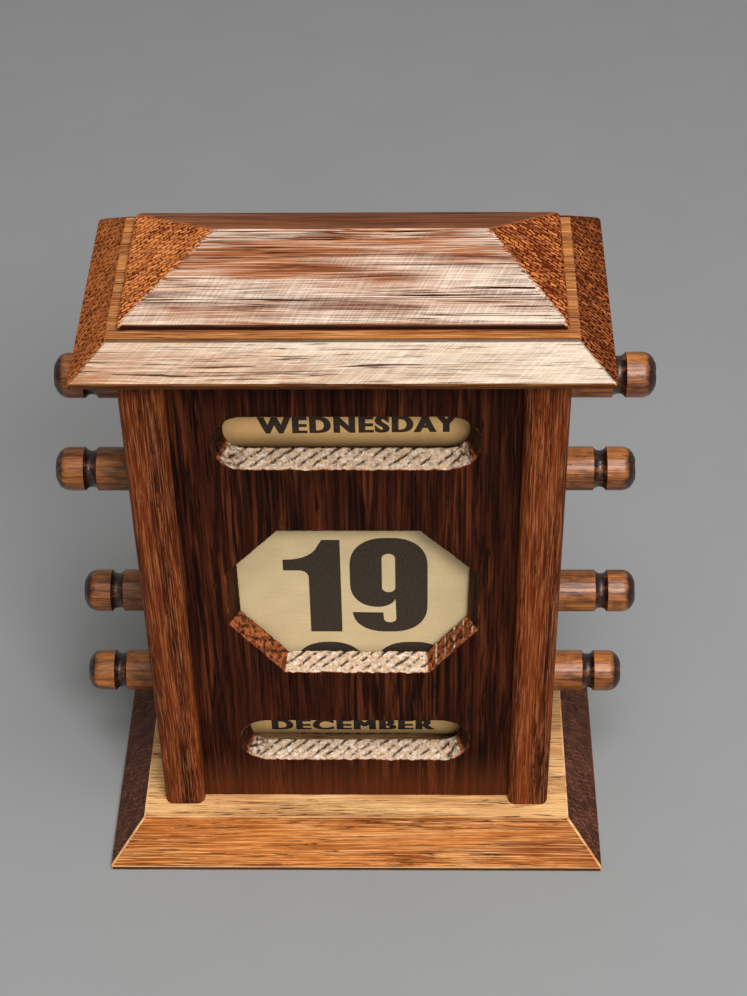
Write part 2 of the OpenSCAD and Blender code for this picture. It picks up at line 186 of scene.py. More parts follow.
class CalendarStudio(bpy.types.PropertyGroup):
    """Floor and lights."""

    floor: colour_prop("Floor", "Plain pale floor", "#8E8F8F")
    key_power: number_prop(
        "Key light", "Power of the light at the front right", 12.4, "POWER", "POWER", min=0.0
    )
    top_power: number_prop(
        "Top light", "Power of the light overhead, which the varnish mirrors", 8.2, "POWER", "POWER", min=0.0
    )
    ambient: number_prop(
        "Ambient", "Strength of the even light from all round", 0.36, "FACTOR", min=0.0, max=2.0
    )


def add(tree, kind, sockets=None, **settings):
    """Adds a shader node. Sockets maps an input to a value, or to the node or socket to link to it."""
    made = tree.nodes.new("ShaderNode" + kind)
    for key, value in settings.items():
        setattr(made, key, value)
    for key, value in (sockets or {}).items():
        if isinstance(value, bpy.types.Node):
            value = next(out for out in value.outputs if out.enabled)
        if isinstance(value, bpy.types.NodeSocket):
            tree.links.new(value, made.inputs[key])
        else:
            made.inputs[key].default_value = value
    return made


def own_place(tree, shift=(0.0, 0.0, 0.0)):
    """The piece's own coordinates in millimetres."""
    own = add(tree, "TexCoord").outputs["Object"]
    return add(tree, "Mapping", {"Vector": own, "Scale": (1 / MM,) * 3, "Location": shift})


def marks(tree, place, size_mm, low, high, start=0.0, end=1.0, detail=2.0):
    """Soft marks of that size each way: start where the noise is under low, end where it is over high."""
    scaled = add(tree, "VectorMath", {0: place, 1: size_mm}, operation="DIVIDE")
    cloud = add(tree, "TexNoise", {"Vector": scaled, "Scale": 1.0, "Detail": detail, "Roughness": 0.6})
    span = {"From Min": low, "From Max": high, "To Min": start, "To Max": end}
    return add(tree, "MapRange", {"Value": cloud, **span})


def toward(tree, vector, way, low, high, start=0.0, end=1.0):
    """How far a place lies, or a face looks, that way: start at the measure low, end at high."""
    measure = add(tree, "VectorMath", {0: vector, 1: way}, operation="DOT_PRODUCT")
    span = {"From Min": low, "From Max": high, "To Min": start, "To Max": end}
    return add(tree, "MapRange", {"Value": measure, **span})


def lengthways(along, across, length):
    """A vector with length along the grain and across the other two ways."""
    return (length, across, across) if along == "X" else (across, across, length)


# A wave texture repeats every 0.314 of its scaled coordinate.
WAVE_STEP = 0.314


def cut_end(tree, own, row_mm, lean):
    """Flecks of cut pores in slanting rows, mirrored about the middle: 0 in the gaps, 1 on a fleck."""
    parts = add(tree, "SeparateXYZ", {0: own})
    across = add(tree, "Math", {0: parts.outputs[0]}, operation="ABSOLUTE")
    flat = add(tree, "CombineXYZ", {0: across, 1: parts.outputs[1], 2: parts.outputs[2]})
    # The rows wander by up to 2.6 mm, and the flecks in them are 1.9 rows long and unequally pale.
    loose = add(tree, "TexNoise", {"Vector": flat, "Scale": 0.5, "Detail": 3.0}).outputs["Color"]
    bent = add(tree, "VectorMath", {0: loose, 1: (2.6,) * 3, 2: flat}, operation="MULTIPLY_ADD")
    turned = add(tree, "Mapping", {"Vector": bent, "Rotation": (0.0, 0.0, math.radians(lean))})
    bricks = {
        "Vector": turned,
        "Color1": (1.0,) * 4,
        "Color2": (0.35, 0.35, 0.35, 1.0),
        "Mortar": (0.0, 0.0, 0.0, 1.0),
        "Scale": 1.0,
        "Mortar Size": 0.24 * row_mm,
        "Mortar Smooth": 0.5,
        "Brick Width": 1.9 * row_mm,
        "Row Height": row_mm,
    }
    return add(tree, "RGBToBW", {0: add(tree, "TexBrick", bricks, offset=0.5)})


# How a piece of oak looks unless its finish says otherwise. What ends in _mm is in millimetres; a pair
# there is a size across the grain and one along it.
OAK = {
    # The trunk: its middle, how far it sways and how its rings lie.
    "shift": (0.0, 0.0, 0.0), "slow_mm": (20.0, 110.0), "sway_mm": (3.0, 0.0), "heart_mm": (60.0, 0.0),
    "ring_mm": 2.6, "ring_depth": 0.4,
    # The grain: slow changes of tone, fibres, open pores, and high grain that has gone pale.
    "tone_mm": (7.0, 90.0), "ground": 0.0,
    "fibre_mm": (0.28, 18.0), "fibre_depth": 0.6, "fibre_soft": 0.14,
    "pore_mm": (0.5, 16.0), "pore_from": 0.56, "pore_depth": 0.9, "crowd_mm": (3.5, 60.0),
    "high_mm": (0.5, 26.0), "high_depth": 0.0, "high_from": 0.5, "beside_mm": (0.35, 2.0),
    "patch_mm": (10.0, 80.0),
    # The faces that are paler from painted sheen and painted light, and the scratches on them.
    "lit_way": (0.0, 0.0, 1.0), "lit_at": (0.9, 0.98), "lit_depth": 0.0,
    "lit_slope": (0.0, 0.0, 0.0), "lit_mm": (6.0, 45.0), "lit_even": (0.35, 1.0),
    "scratch_mm": (0.32, 16.0, 16.0), "scratch_turn": 40.0, "scratch_depth": 0.0,
    # The end grain, the painted shade on the upright lips and the back slopes, and the dark line along the
    # bevel's upper edge.
    "row_mm": 1.0, "lean": 14.0, "cloud_mm": 6.0, "end_at": (0.24, 0.34), "end_slope": (0.0, 0.0, 0.0),
    "lip": 0.0, "back": 0.0, "edge_line": 0.0,
    # The surface.
    "bump": 0.6, "gloss_mm": (0.8, 30.0), "gloss": 0.42, "specular": 0.4, "coat": 0.0,
    "coat_rough": 0.3,
}


def oak(tree, along, colours, changes):
    """Oak with its year rings, open pores and fibres, and end grain that drank more of the stain.

    Like every maker of a material, it returns what goes into the shader's sockets.
    Colours are light, dark, pore, worn, end_light and end_dark; worn is also the painted sheen on the
    cornice and the cap, and the painted light on the plinth's top. Changes alters single entries of OAK.
    """
    look = {**OAK, **changes}

    def sized(key):
        """The pair under that key, turned the way the grain runs."""
        return lengthways(along, *look[key])

    normal = add(tree, "TexCoord").outputs["Normal"]
    own = own_place(tree)
    place = own_place(tree, look["shift"])
    # A trunk is never straight, so a slow noise pushes the grain aside.
    slow = add(tree, "VectorMath", {0: place, 1: sized("slow_mm")}, operation="DIVIDE")
    sway = add(tree, "TexNoise", {"Vector": slow, "Scale": 1.0}).outputs["Color"]
    sway = add(tree, "VectorMath", {0: sway, 1: (0.5,) * 3}, operation="SUBTRACT")
    grain = add(tree, "VectorMath", {0: sway, 1: sized("sway_mm"), 2: place}, operation="MULTIPLY_ADD")
    heart = add(tree, "VectorMath", {0: grain, 1: sized("heart_mm")})
    wave = {"Vector": heart, "Scale": WAVE_STEP / look["ring_mm"], "Distortion": 2.0, "Detail": 2.0}
    wave["Detail Scale"] = 0.6
    rings = add(tree, "TexWave", wave, wave_type="RINGS", rings_direction=along, wave_profile="SAW")
    late = add(tree, "Math", {0: rings, 1: 3.0}, operation="POWER")
    tone = marks(tree, grain, sized("tone_mm"), 0.36, 0.66, look["ground"], 0.75)
    soft = look["fibre_soft"]
    fibre = marks(tree, grain, sized("fibre_mm"), 0.5 - soft, 0.5 + soft, -0.5, 0.5, 3.0)
    start = look["pore_from"]
    pore = marks(tree, grain, sized("pore_mm"), start, start + 0.05, 0.0, 1.0, 2.5)
    crowd = marks(tree, place, sized("crowd_mm"), 0.4, 0.6, 0.15, 1.0, 1.0)
    crowd = add(tree, "Math", {0: late, 1: crowd}, operation="MAXIMUM")
    pore = add(tree, "Math", {0: pore, 1: crowd}, operation="MULTIPLY")
    deep = add(tree, "Math", {0: late, 1: look["ring_depth"], 2: tone}, operation="MULTIPLY_ADD")
    deep = add(tree, "Math", {0: fibre, 1: look["fibre_depth"], 2: deep}, operation="MULTIPLY_ADD")
    face = add(tree, "Mix", {0: deep, 6: colours["light"], 7: colours["dark"]}, data_type="RGBA")

    # Faces that look one way are paler: painted sheen on the cornice's bevel and the cap's front slope,
    # painted light on the plinth's top. The high grain is paler still: painted sheen on the cap, the wood's
    # own pale streaks on the panels.
    worn = toward(tree, normal, look["lit_way"], *look["lit_at"], 0.0, look["lit_depth"])
    spread = marks(tree, place, sized("lit_mm"), 0.38, 0.6, *look["lit_even"])
    slope = toward(tree, own, look["lit_slope"], -1.0, 1.0, -1.0, 1.0)
    spread = add(tree, "Math", {0: slope, 1: spread}, operation="ADD")
    worn = add(tree, "Math", {0: worn, 1: spread}, operation="MULTIPLY", use_clamp=True)
    beside = add(tree, "VectorMath", {0: grain, 1: sized("beside_mm")})
    start = look["high_from"]
    high = marks(tree, beside, sized("high_mm"), start, start + 0.07, 0.0, look["high_depth"], 2.5)
    patch = marks(tree, place, sized("patch_mm"), 0.42, 0.58, 0.1, 1.0)
    high = add(tree, "Math", {0: high, 1: patch}, operation="MULTIPLY")
    # Sanding lines cross the grain, 0.3 mm wide: coarser than 0.1 mm grit, so that they show.
    turn = (0.0, 0.0, math.radians(look["scratch_turn"]))
    turned = add(tree, "Mapping", {"Vector": own, "Rotation": turn})
    scratch = marks(tree, turned, look["scratch_mm"], 0.48, 0.56, -0.5, 0.5)
    scratch = add(tree, "Math", {0: scratch, 1: worn}, operation="MULTIPLY")
    scratch = add(tree, "Math", {0: scratch, 1: look["scratch_depth"]}, operation="MULTIPLY")
    pale = add(tree, "Math", {0: worn, 1: high}, operation="MAXIMUM")
    pale = add(tree, "Math", {0: pale, 1: scratch}, operation="ADD")
    pale = add(tree, "Math", {0: fibre, 1: look["fibre_depth"] * -0.35, 2: pale}, operation="MULTIPLY_ADD")
    # The slopes at the back get little of this paleness.
    front = toward(tree, normal, (0.0, 1.0, 0.0), 0.06, 0.2, 1.0, 0.12)
    pale = add(tree, "Math", {0: pale, 1: front}, operation="MULTIPLY", use_clamp=True)
    face = add(tree, "Mix", {0: pale, 6: face, 7: colours["worn"]}, data_type="RGBA")
    filled = add(tree, "Math", {0: pore, 1: look["pore_depth"]}, operation="MULTIPLY")
    face = add(tree, "Mix", {0: filled, 6: face, 7: colours["pore"]}, data_type="RGBA")

    fleck = cut_end(tree, own, look["row_mm"], look["lean"])
    cloud = marks(tree, place, (look["cloud_mm"],) * 3, 0.38, 0.62, -0.18, 0.1, 3.0)
    cloudy = add(tree, "Math", {0: fleck, 1: cloud}, operation="ADD")
    slope = toward(tree, own, look["end_slope"], -1.0, 1.0, -1.0, 1.0)
    cloudy = add(tree, "Math", {0: cloudy, 1: slope}, operation="ADD", use_clamp=True)
    end = add(tree, "Mix", {0: cloudy, 6: colours["end_dark"], 7: colours["end_light"]}, data_type="RGBA")
    looks = add(tree, "VectorMath", {0: normal}, operation="ABSOLUTE")
    is_end = toward(tree, looks, lengthways(along, 0.0, 1.0), *look["end_at"])
    base = add(tree, "Mix", {0: is_end, 6: face, 7: end}, data_type="RGBA")
    # Painted shade on the upright lips and on the back slopes, and a dark line along the bevel's upper edge,
    # which is part painted shadow of the cap and part stain.
    lip = toward(tree, looks, (0.0, 1.0, 0.0), 0.75, 0.95, 0.0, look["lip"])
    back = toward(tree, normal, (0.0, 1.0, 0.0), 0.25, 0.4, 0.0, look["back"])
    lip = add(tree, "Math", {0: lip, 1: back}, operation="MAXIMUM")
    line = toward(tree, looks, (0.0, 0.316, 0.949), 0.955, 0.975, 0.0, look["edge_line"])
    lip = add(tree, "Math", {0: lip, 1: line}, operation="MAXIMUM")
    base = add(tree, "Mix", {0: lip, 6: base, 7: colours["pore"]}, data_type="RGBA")

    relief = add(tree, "Math", {0: pore, 1: -0.9, 2: fibre}, operation="MULTIPLY_ADD")
    relief = add(tree, "Math", {0: scratch, 1: 1.2, 2: relief}, operation="MULTIPLY_ADD")
    height = add(tree, "Mix", {0: is_end, 2: relief, 3: fleck}, data_type="FLOAT")
    bump = add(tree, "Bump", {"Height": height, "Strength": look["bump"], "Distance": 0.3 * MM})
    gloss = marks(tree, grain, sized("gloss_mm"), 0.35, 0.65, look["gloss"], look["gloss"] + 0.14)
    rough_end = add(tree, "Mix", {0: is_end, 2: gloss, 3: 0.6}, data_type="FLOAT")
    return {
        "Base Color": base,
        "Roughness": rough_end,
        "Normal": bump,
        "Specular IOR Level": look["specular"],
        "Coat Weight": look["coat"],
        "Coat Roughness": look["coat_rough"],
    }


# The oak finishes: the way of the grain, the wood settings for the light, dark, pore, worn, end_light
# and end_dark of oak(), and what each changes in OAK.
OAK_FINISHES = {
    # Oiled and varnished oak: warm orange with short dark lines, and painted light that makes its flat top
    # paler.
    "varnished_oak_plinth": (
        "X",
        "board_light board_dark board_pore board_worn plinth_end_light plinth_end_dark",
        {
            "fibre_mm": (0.34, 22.0), "fibre_depth": 0.9, "fibre_soft": 0.08,
            "pore_mm": (0.45, 9.0), "pore_from": 0.57,
            "high_mm": (0.5, 24.0), "high_depth": 0.35,
            "lit_depth": 0.9, "lit_even": (0.55, 1.0),
            "lip": 0.9, "back": 0.3,
            "gloss": 0.45, "specular": 0.15, "coat": 0.05,
        },
    ),
    # The same oak with a painted sheen on its bevel that grows to the right, scratches across the grain, and
    # golden where it is flat.
    "varnished_oak_cornice": (
        "X",
        "cornice_light cornice_dark board_pore sanded cornice_end_light cornice_end_dark",
        {
            "shift": (240.0, 17.0, 31.0),
            "fibre_depth": 0.75, "fibre_soft": 0.08,
            "pore_mm": (0.45, 17.0), "pore_from": 0.565,
            "lit_way": (0.0, -0.6, 0.8), "lit_depth": 0.9, "lit_slope": (0.006, 0.0, 0.0),
            "lit_even": (0.7, 1.1),
            "scratch_turn": 53.0, "scratch_depth": 0.36,
            "row_mm": 1.3, "end_slope": (-0.003, 0.0, 0.0),
            "lip": 0.85, "back": 0.3, "edge_line": 0.75,
            "specular": 0.03,
        },
    ),
    # Browner oak with long dark lines and pale ones beside them, a painted sheen that grows towards the
    # front right.
    "varnished_oak_cap": (
        "X",
        "cap_light cap_dark board_pore rubbed board_end_light board_end_dark",
        {
            "shift": (130.0, 61.0, 5.0),
            "fibre_mm": (0.34, 30.0), "fibre_depth": 0.8, "fibre_soft": 0.06,
            "pore_mm": (0.36, 34.0), "pore_from": 0.54, "pore_depth": 1.0,
            "high_mm": (0.36, 26.0), "high_depth": 0.9,
            "lit_way": (0.0, -0.43, 0.9), "lit_depth": 0.8, "lit_slope": (0.004, -0.03, 0.0),
            "lit_even": (-0.25, 0.5),
            "scratch_turn": 30.0, "scratch_depth": 0.4,
            "row_mm": 1.35, "lean": 8.0, "end_slope": (-0.0035, 0.0, 0.0),
            "lip": 1.0, "back": 0.25,
            "specular": 0.02,
        },
    ),
    # Oak where hands rubbed the stain off its edges: lighter and smoother.
    "varnished_oak_rubbed_edge": (
        "X",
        "edge board_light board_dark edge board_light board_dark",
        {
            "ground": -0.35,
            "fibre_depth": 0.4,
            "pore_depth": 0.3,
            "end_at": (0.6, 0.9),
            "gloss": 0.38, "coat": 0.2,
        },
    ),
    # Oak with a reddish stain, its grain upright: mid brown with short dark flecks.
    "stained_oak_post": (
        "Z",
        "post_light post_dark board_pore edge post_light post_dark",
        {
            "ring_depth": 0.25,
            "ground": 0.1,
            "fibre_mm": (0.35, 14.0), "fibre_soft": 0.1,
            "pore_mm": (0.42, 5.0),
            "end_at": (0.8, 0.9),
            "specular": 0.06,
        },
    ),
    # Thin oak with a black-brown stain: nearly black, with upright reddish streaks.
    "stained_oak_panel": (
        "Z",
        "panel_light panel_dark panel_pore panel_worn panel_light panel_dark",
        {
            "sway_mm": (2.0, 0.0), "ring_mm": 3.1, "ring_depth": 0.3,
            "ground": 0.3,
            "fibre_mm": (0.9, 36.0), "fibre_depth": 0.55,
            "pore_mm": (0.8, 14.0),
            "high_mm": (1.7, 40.0), "high_depth": 0.4, "high_from": 0.53,
            "end_at": (0.8, 0.9),
            "gloss": 0.5, "specular": 0.06,
        },
    ),
    # Turned oak dowel that fingers polished to gold.
    KNOB_FINISH: (
        "X",
        "knob_light knob_dark board_pore edge knob_light knob_dark",
        {
            "ground": 0.1,
            "fibre_mm": (0.4, 9.0), "fibre_depth": 0.35,
            "pore_mm": (0.35, 5.0), "pore_depth": 0.35,
            "end_at": (0.75, 0.9),
            "bump": 0.3, "gloss": 0.26, "specular": 0.35, "coat": 0.35, "coat_rough": 0.22,
        },
    ),
    # Bare turned beech: pale, even, with short fine flecks.
    "bare_beech": (
        "X",
        "plain plain_dark plain_dark plain plain plain_dark",
        {
            "ring_depth": 0.15,
            "pore_mm": (0.4, 2.5), "pore_depth": 0.3,
            "end_at": (0.8, 0.9),
            "gloss": 0.6,
        },
    ),
}


def oak_finish(context, tree, name):
    """One of the finishes above."""
    along, settings, changes = OAK_FINISHES[name]
    wood = context.scene.calendar_wood
    picked = [rgba(getattr(wood, setting)) for setting in settings.split()]
    colours = dict(zip(("light", "dark", "pore", "worn", "end_light", "end_dark"), picked))
    return oak(tree, along, colours, changes)


def cut_panel(context, tree, name):
    """The front panel: stained oak, raw where its windows were cut, orange where the stain rubbed off."""
    wood = context.scene.calendar_wood
    surface = oak_finish(context, tree, "stained_oak_panel")
    stained = surface["Base Color"]
    place = own_place(tree)
    # Painted light low down on the panel, for the warm light that the plinth throws back up.
    bounce_light = toward(tree, place, (0.0, 0.0, 1.0), 18.0, 32.0, 0.35, 0.0)
    stained = add(tree, "Mix", {0: bounce_light, 6: stained, 7: rgba(wood.panel_worn)}, data_type="RGBA")
    painted = add(tree, "Attribute", attribute_name="cut").outputs["Color"]
    raw, dirt, rub = add(tree, "SeparateColor", {0: painted}).outputs[:3]
    grit = marks(tree, place, (0.7, 0.9, 0.9), 0.36, 0.62, 0.0, 1.0, 3.0)
    fibres = add(tree, "Mix", {0: grit, 6: rgba(wood.raw_brown), 7: rgba(wood.raw_light)}, data_type="RGBA")
    glint = marks(tree, place, (1.6, 1.0, 1.0), 0.5, 0.64, 0.0, 0.6, 3.0)
    fibres = add(tree, "Mix", {0: glint, 6: fibres, 7: rgba(wood.raw_white)}, data_type="RGBA")
    # Half raw is wood that took some stain, as on the slanting sides.
    grit = marks(tree, place, (1.0, 1.4, 1.4), 0.38, 0.56, 0.0, 1.0, 3.0)
    dark, orange = rgba(wood.cornice_end_dark), rgba(wood.raw_orange)
    tinted = add(tree, "Mix", {0: grit, 6: dark, 7: orange}, data_type="RGBA")
    took = add(tree, "MapRange", {"Value": raw, "From Min": 0.1, "From Max": 0.4})
    half = add(tree, "Mix", {0: took, 6: stained, 7: tinted}, data_type="RGBA")
    bare = add(tree, "MapRange", {"Value": raw, "From Min": 0.55, "From Max": 0.8})
    cut = add(tree, "Mix", {0: bare, 6: half, 7: fibres}, data_type="RGBA")
    cut = add(tree, "Mix", {0: dirt, 6: cut, 7: rgba(wood.raw_dark)}, data_type="RGBA")
    patchy = marks(tree, place, (1.2, 1.2, 3.0), 0.4, 0.55)
    worn = add(tree, "Math", {0: rub, 1: patchy}, operation="MULTIPLY")
    base = add(tree, "Mix", {0: worn, 6: cut, 7: orange}, data_type="RGBA")
    return {**surface, "Base Color": base}


def turned_knob(context, tree, name):
    """The knobs' oak, dark with varnish in patches, and dark in its groove and on its tip: varnish there,
    and painted shade.
    """
    surface = oak_finish(context, tree, KNOB_FINISH)
    # The groove, which is nearer to the knob's axis, and the rim of the tip are dark: varnish that fingers
    # don't reach, and painted shade.
    low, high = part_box(name.removeprefix(KNOB_FINISH) + "_left")
    axis = (low + high) / (2 * MM)
    place = own_place(tree, (0.0, -axis.y, -axis.z))
    across = add(tree, "VectorMath", {0: place, 1: (0.0, 1.0, 1.0)}, operation="MULTIPLY")
    radius = add(tree, "VectorMath", {0: across}, operation="LENGTH")
    outer = (high.z - low.z) / (2 * MM)
    groove = add(tree, "MapRange", {"Value": radius, "From Min": outer - 0.05, "From Max": outer - 0.6})
    normal = add(tree, "TexCoord").outputs["Normal"]
    looks = add(tree, "VectorMath", {0: normal}, operation="ABSOLUTE")
    tip = toward(tree, looks, (1.0, 0.0, 0.0), 0.15, 0.75)
    varnish_and_shade = add(tree, "Math", {0: groove, 1: tip}, operation="MAXIMUM")
    patchy = marks(tree, place, (5.0, 2.5, 2.5), 0.34, 0.66, -0.35, 0.55, 3.0)
    varnish_and_shade = add(tree, "Math", {0: varnish_and_shade, 1: patchy}, operation="ADD", use_clamp=True)
    varnish = rgba(context.scene.calendar_wood.knob_varnish_and_shade)
    base = add(tree, "Mix", {0: varnish_and_shade, 6: surface["Base Color"], 7: varnish}, data_type="RGBA")
    return {**surface, "Base Color": base}


def darkened(tree, amount, colour, share):
    """The colour, going to that share of itself where the amount is 1."""
    darker = rgba([c * share for c in colour])
    return add(tree, "Mix", {0: amount, 6: rgba(colour), 7: darker}, data_type="RGBA")


def aged_cloth(context, tree, name):
    """Sized linen gone yellow: an even weave with thicker threads here and there."""
    place = own_place(tree)
    # Threads lie 0.5 mm apart, coarser than the 0.3 mm of real linen, so that they show.
    threads = {"Vector": place, "Scale": WAVE_STEP / 0.5, "Distortion": 0.6, "Detail": 1.0}
    warp = add(tree, "TexWave", threads, wave_type="BANDS", bands_direction="X")
    weft = add(tree, "TexWave", threads, wave_type="BANDS", bands_direction="Z")
    weave = add(tree, "Math", {0: warp, 1: weft}, operation="MULTIPLY")
    slub = marks(tree, place, (9.0, 9.0, 0.6), 0.35, 0.7)
    cloud = marks(tree, place, (14.0,) * 3, 0.35, 0.68, 0.05, 0.4, 3.0)
    tint = add(tree, "Math", {0: slub, 1: 0.15, 2: cloud}, operation="MULTIPLY_ADD")
    tint = add(tree, "Math", {0: weave, 1: -0.12, 2: tint}, operation="MULTIPLY_ADD")
    base = darkened(tree, tint, context.scene.calendar_print.linen, 0.62)
    height = add(tree, "Math", {0: slub, 1: 0.3, 2: weave}, operation="MULTIPLY_ADD")
    bump = add(tree, "Bump", {"Height": height, "Strength": 0.35, "Distance": 0.12 * MM})
    sheen = {"Sheen Weight": 0.15, "Sheen Roughness": 0.5}
    return {"Base Color": base, "Normal": bump, "Roughness": 0.85, **sheen}


def aged_paper(context, tree, name):
    """Sized paper gone brown: faint fibres and soft stains, hardly any gloss."""
    place = own_place(tree)
    stain = marks(tree, place, (11.0,) * 3, 0.4, 0.7, 0.0, 0.4, 4.0)
    fibre = marks(tree, place, (0.6,) * 3, 0.3, 0.7, -0.1, 0.15)
    tint = add(tree, "Math", {0: stain, 1: fibre}, operation="ADD")
    base = darkened(tree, tint, context.scene.calendar_print.paper, 0.6)
    bump = add(tree, "Bump", {"Height": fibre, "Strength": 0.4, "Distance": 0.1 * MM})
    return {"Base Color": base, "Normal": bump, "Roughness": 0.7}


def printing_ink(context, tree, name):
    """Letterpress ink rubbed by use: dark brown-black, thin where the ground was high."""
    group = context.scene.calendar_print
    thin = marks(tree, own_place(tree), (0.5,) * 3, 0.45, 0.75, 0.0, 0.06, 3.0)
    base = add(tree, "Mix", {0: thin, 6: rgba(group.ink), 7: rgba(group.linen)}, data_type="RGBA")
    return {"Base Color": base, "Roughness": 0.65, "Specular IOR Level": 0.2}


def turned_metal(context, tree, name):
    """Brass or zinc-plated steel from a screw machine, a little dulled."""
    dull = marks(tree, own_place(tree), (1.2,) * 3, 0.35, 0.7, 0.0, 0.6, 3.0)
    base = darkened(tree, dull, linear(METAL_COLOURS[name]), 0.5)
    gloss = add(tree, "MapRange", {"Value": dull, "To Min": 0.28, "To Max": 0.55})
    return {"Base Color": base, "Roughness": gloss, "Metallic": 1.0}


def pale_floor(context, tree, name):
    """A plain matt floor, faintly mottled as poured screed is."""
    shade = marks(tree, own_place(tree), (50.0,) * 3, 0.3, 0.7, 0.0, 0.5, 4.0)
    base = darkened(tree, shade, context.scene.calendar_studio.floor, 0.93)
    return {"Base Color": base, "Roughness": 0.9}


# The makers of all materials but the plain oak finishes.
MATERIALS = {
    "stained_oak_cut_panel": cut_panel,
    **{KNOB_FINISH + stem: turned_knob for stem in KNOB_ENDS},
    "aged_linen": aged_cloth,
    "aged_paper": aged_paper,
    "printing_ink": printing_ink,
    **{name: turned_metal for name in METAL_COLOURS},
    "pale_floor": pale_floor,
}


def finish_for(context, name):
    """The named material, made the first time that it is asked for."""
    made = bpy.data.materials.get(name)
    if not made:
        made = bpy.data.materials.new(name)
        made.use_nodes = True
        tree = made.node_tree
        tree.nodes.clear()
        surface = MATERIALS.get(name, oak_finish)(context, tree, name)
        add(tree, "OutputMaterial", {"Surface": add(tree, "BsdfPrincipled", surface)})
    return made


# Points nearer than this are one; edges sharper than this are rounded, in so many steps.
WELD_REACH = 0.002 * MM
ROUNDED_FROM = math.radians(25.0)
ROUNDING_STEPS = 3


def dress(context, node_name, finish, edge=None, wear=0.0):
    """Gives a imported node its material, and a rounded, rubbed edge where it asks for one."""
    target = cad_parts[node_name]
    target.data.materials.clear()
    target.data.materials.append(finish_for(context, finish))
    if wear <= 0.0:
        return
    target.data.materials.append(finish_for(context, edge or finish))
    weld = target.modifiers.new("weld", "WELD")
    weld.merge_threshold = WELD_REACH
    rounding = target.modifiers.new("rubbed_edge", "BEVEL")
    rounding.width = wear
    rounding.segments = ROUNDING_STEPS
    rounding.limit_method = "ANGLE"
    rounding.angle_limit = ROUNDED_FROM
    # Clamped, the width would come out near zero on these two, which have edges under 0.3 mm.
    rounding.use_clamp_overlap = node_name not in ("cornice_board", "roof_cap")
    rounding.material = 1 if edge else -1
    weigh = target.modifiers.new("flat_faces", "WEIGHTED_NORMAL")
    weigh.keep_sharp = True


def mesh_piece(context, name, points, faces, finish):
    """A new object from points and faces, in metres."""
    shape = bpy.data.meshes.new(name)
    shape.from_pydata([tuple(p) for p in points], [], faces)
    shape.update()
    made = bpy.data.objects.new(name, shape)
    context.scene.collection.objects.link(made)
    made.data.materials.append(finish_for(context, finish))
    return made


class CALENDAR_OT_stage(bpy.types.Operator):
    """Lays the pale floor, hangs the soft lights and sets up the camera"""

    bl_idname = "calendar.stage"
    bl_label = "Stage"

    def execute(self, context):
        scene = context.scene
        studio = scene.calendar_studio
        camera_data = bpy.data.cameras.new("camera")
        camera_data.sensor_fit = "VERTICAL"
        camera_data.sensor_height = FILM_SIDE
        camera_data.lens = FOCAL_PIXELS * FILM_SIDE / PHOTO_HEIGHT
        camera = bpy.data.objects.new("camera", camera_data)
        scene.collection.objects.link(camera)
        level = Vector((math.sin(CAMERA_YAW), math.cos(CAMERA_YAW), 0.0))
        forward = math.cos(CAMERA_PITCH) * level + Vector((0.0, 0.0, math.sin(CAMERA_PITCH)))
        right = Vector((math.cos(CAMERA_YAW), -math.sin(CAMERA_YAW), 0.0))
        up = right.cross(forward)
        rolled_right = math.cos(CAMERA_ROLL) * right + math.sin(CAMERA_ROLL) * up
        rolled_up = math.cos(CAMERA_ROLL) * up - math.sin(CAMERA_ROLL) * right
        facing = Matrix((rolled_right, rolled_up, -forward)).transposed()
        camera.matrix_world = Matrix.Translation(CAMERA_PLACE) @ facing.to_4x4()
        scene.camera = camera

        corners = [(x * FLOOR_REACH, y * FLOOR_REACH, 0.0) for x, y in ((-1, -1), (1, -1), (1, 1), (-1, 1))]
        floor = mesh_piece(context, "floor", corners, [(0, 1, 2, 3)], "pale_floor")

        self.hang(context, "key_box", KEY_PLACE, KEY_SIZE, studio.key_power)
        self.hang(context, "top_box", TOP_PLACE, TOP_SIZE, studio.top_power)

        world = bpy.data.worlds.new("studio")
        world.use_nodes = True
        tree = world.node_tree
        tree.nodes.clear()
        even = add(tree, "Background", {0: rgba(linear(AMBIENT_COLOUR)), 1: studio.ambient})
        add(tree, "OutputWorld", {0: even})
        scene.world = world
        scene.view_settings.view_transform = "Standard"
        return {"FINISHED"}

    def hang(self, context, name, place, size, power):
        """Hangs one soft rectangular light, aimed at the middle of the object."""
        lamp = bpy.data.lights.new(name, "AREA")
        lamp.shape = "RECTANGLE"
        lamp.size, lamp.size_y = size
        lamp.energy = power
        hung = bpy.data.objects.new(name, lamp)
        hung.location = place
        aim = Vector(LIGHT_AIM) - hung.location
        hung.rotation_euler = aim.to_track_quat("-Z", "Y").to_euler()
        context.scene.collection.objects.link(hung)


class CALENDAR_OT_boards(bpy.types.Operator):
    """Finishes the plinth, the cornice board and the roof cap"""

    bl_idname = "calendar.boards"
    bl_label = "Boards"

    def execute(self, context):
        wear = context.scene.calendar_wood.edge_wear
        dress(context, "base_plinth", "varnished_oak_plinth", "varnished_oak_rubbed_edge", 1.15 * wear)
        dress(context, "cornice_board", "varnished_oak_cornice", None, 1.5 * wear)
        dress(context, "roof_cap", "varnished_oak_cap", None, 2.0 * wear)
        return {"FINISHED"}


class CALENDAR_OT_case(bpy.types.Operator):
    """Finishes the panels and the corner posts"""

    bl_idname = "calendar.case"
    bl_label = "Case"

    def execute(self, context):
        wear = context.scene.calendar_wood.edge_wear
        for name in PANEL_NODES:
            # Rounding folds faces round the back panel's screw holes, which shows as dark lines.
            wear_here = 0.0 if name == "back_panel" else 0.6 * wear
            dress(context, name, "stained_oak_panel", None, wear_here)
        for name in POST_NODES:
            dress(context, name, "stained_oak_post", None, 0.5 * wear)
        return {"FINISHED"}


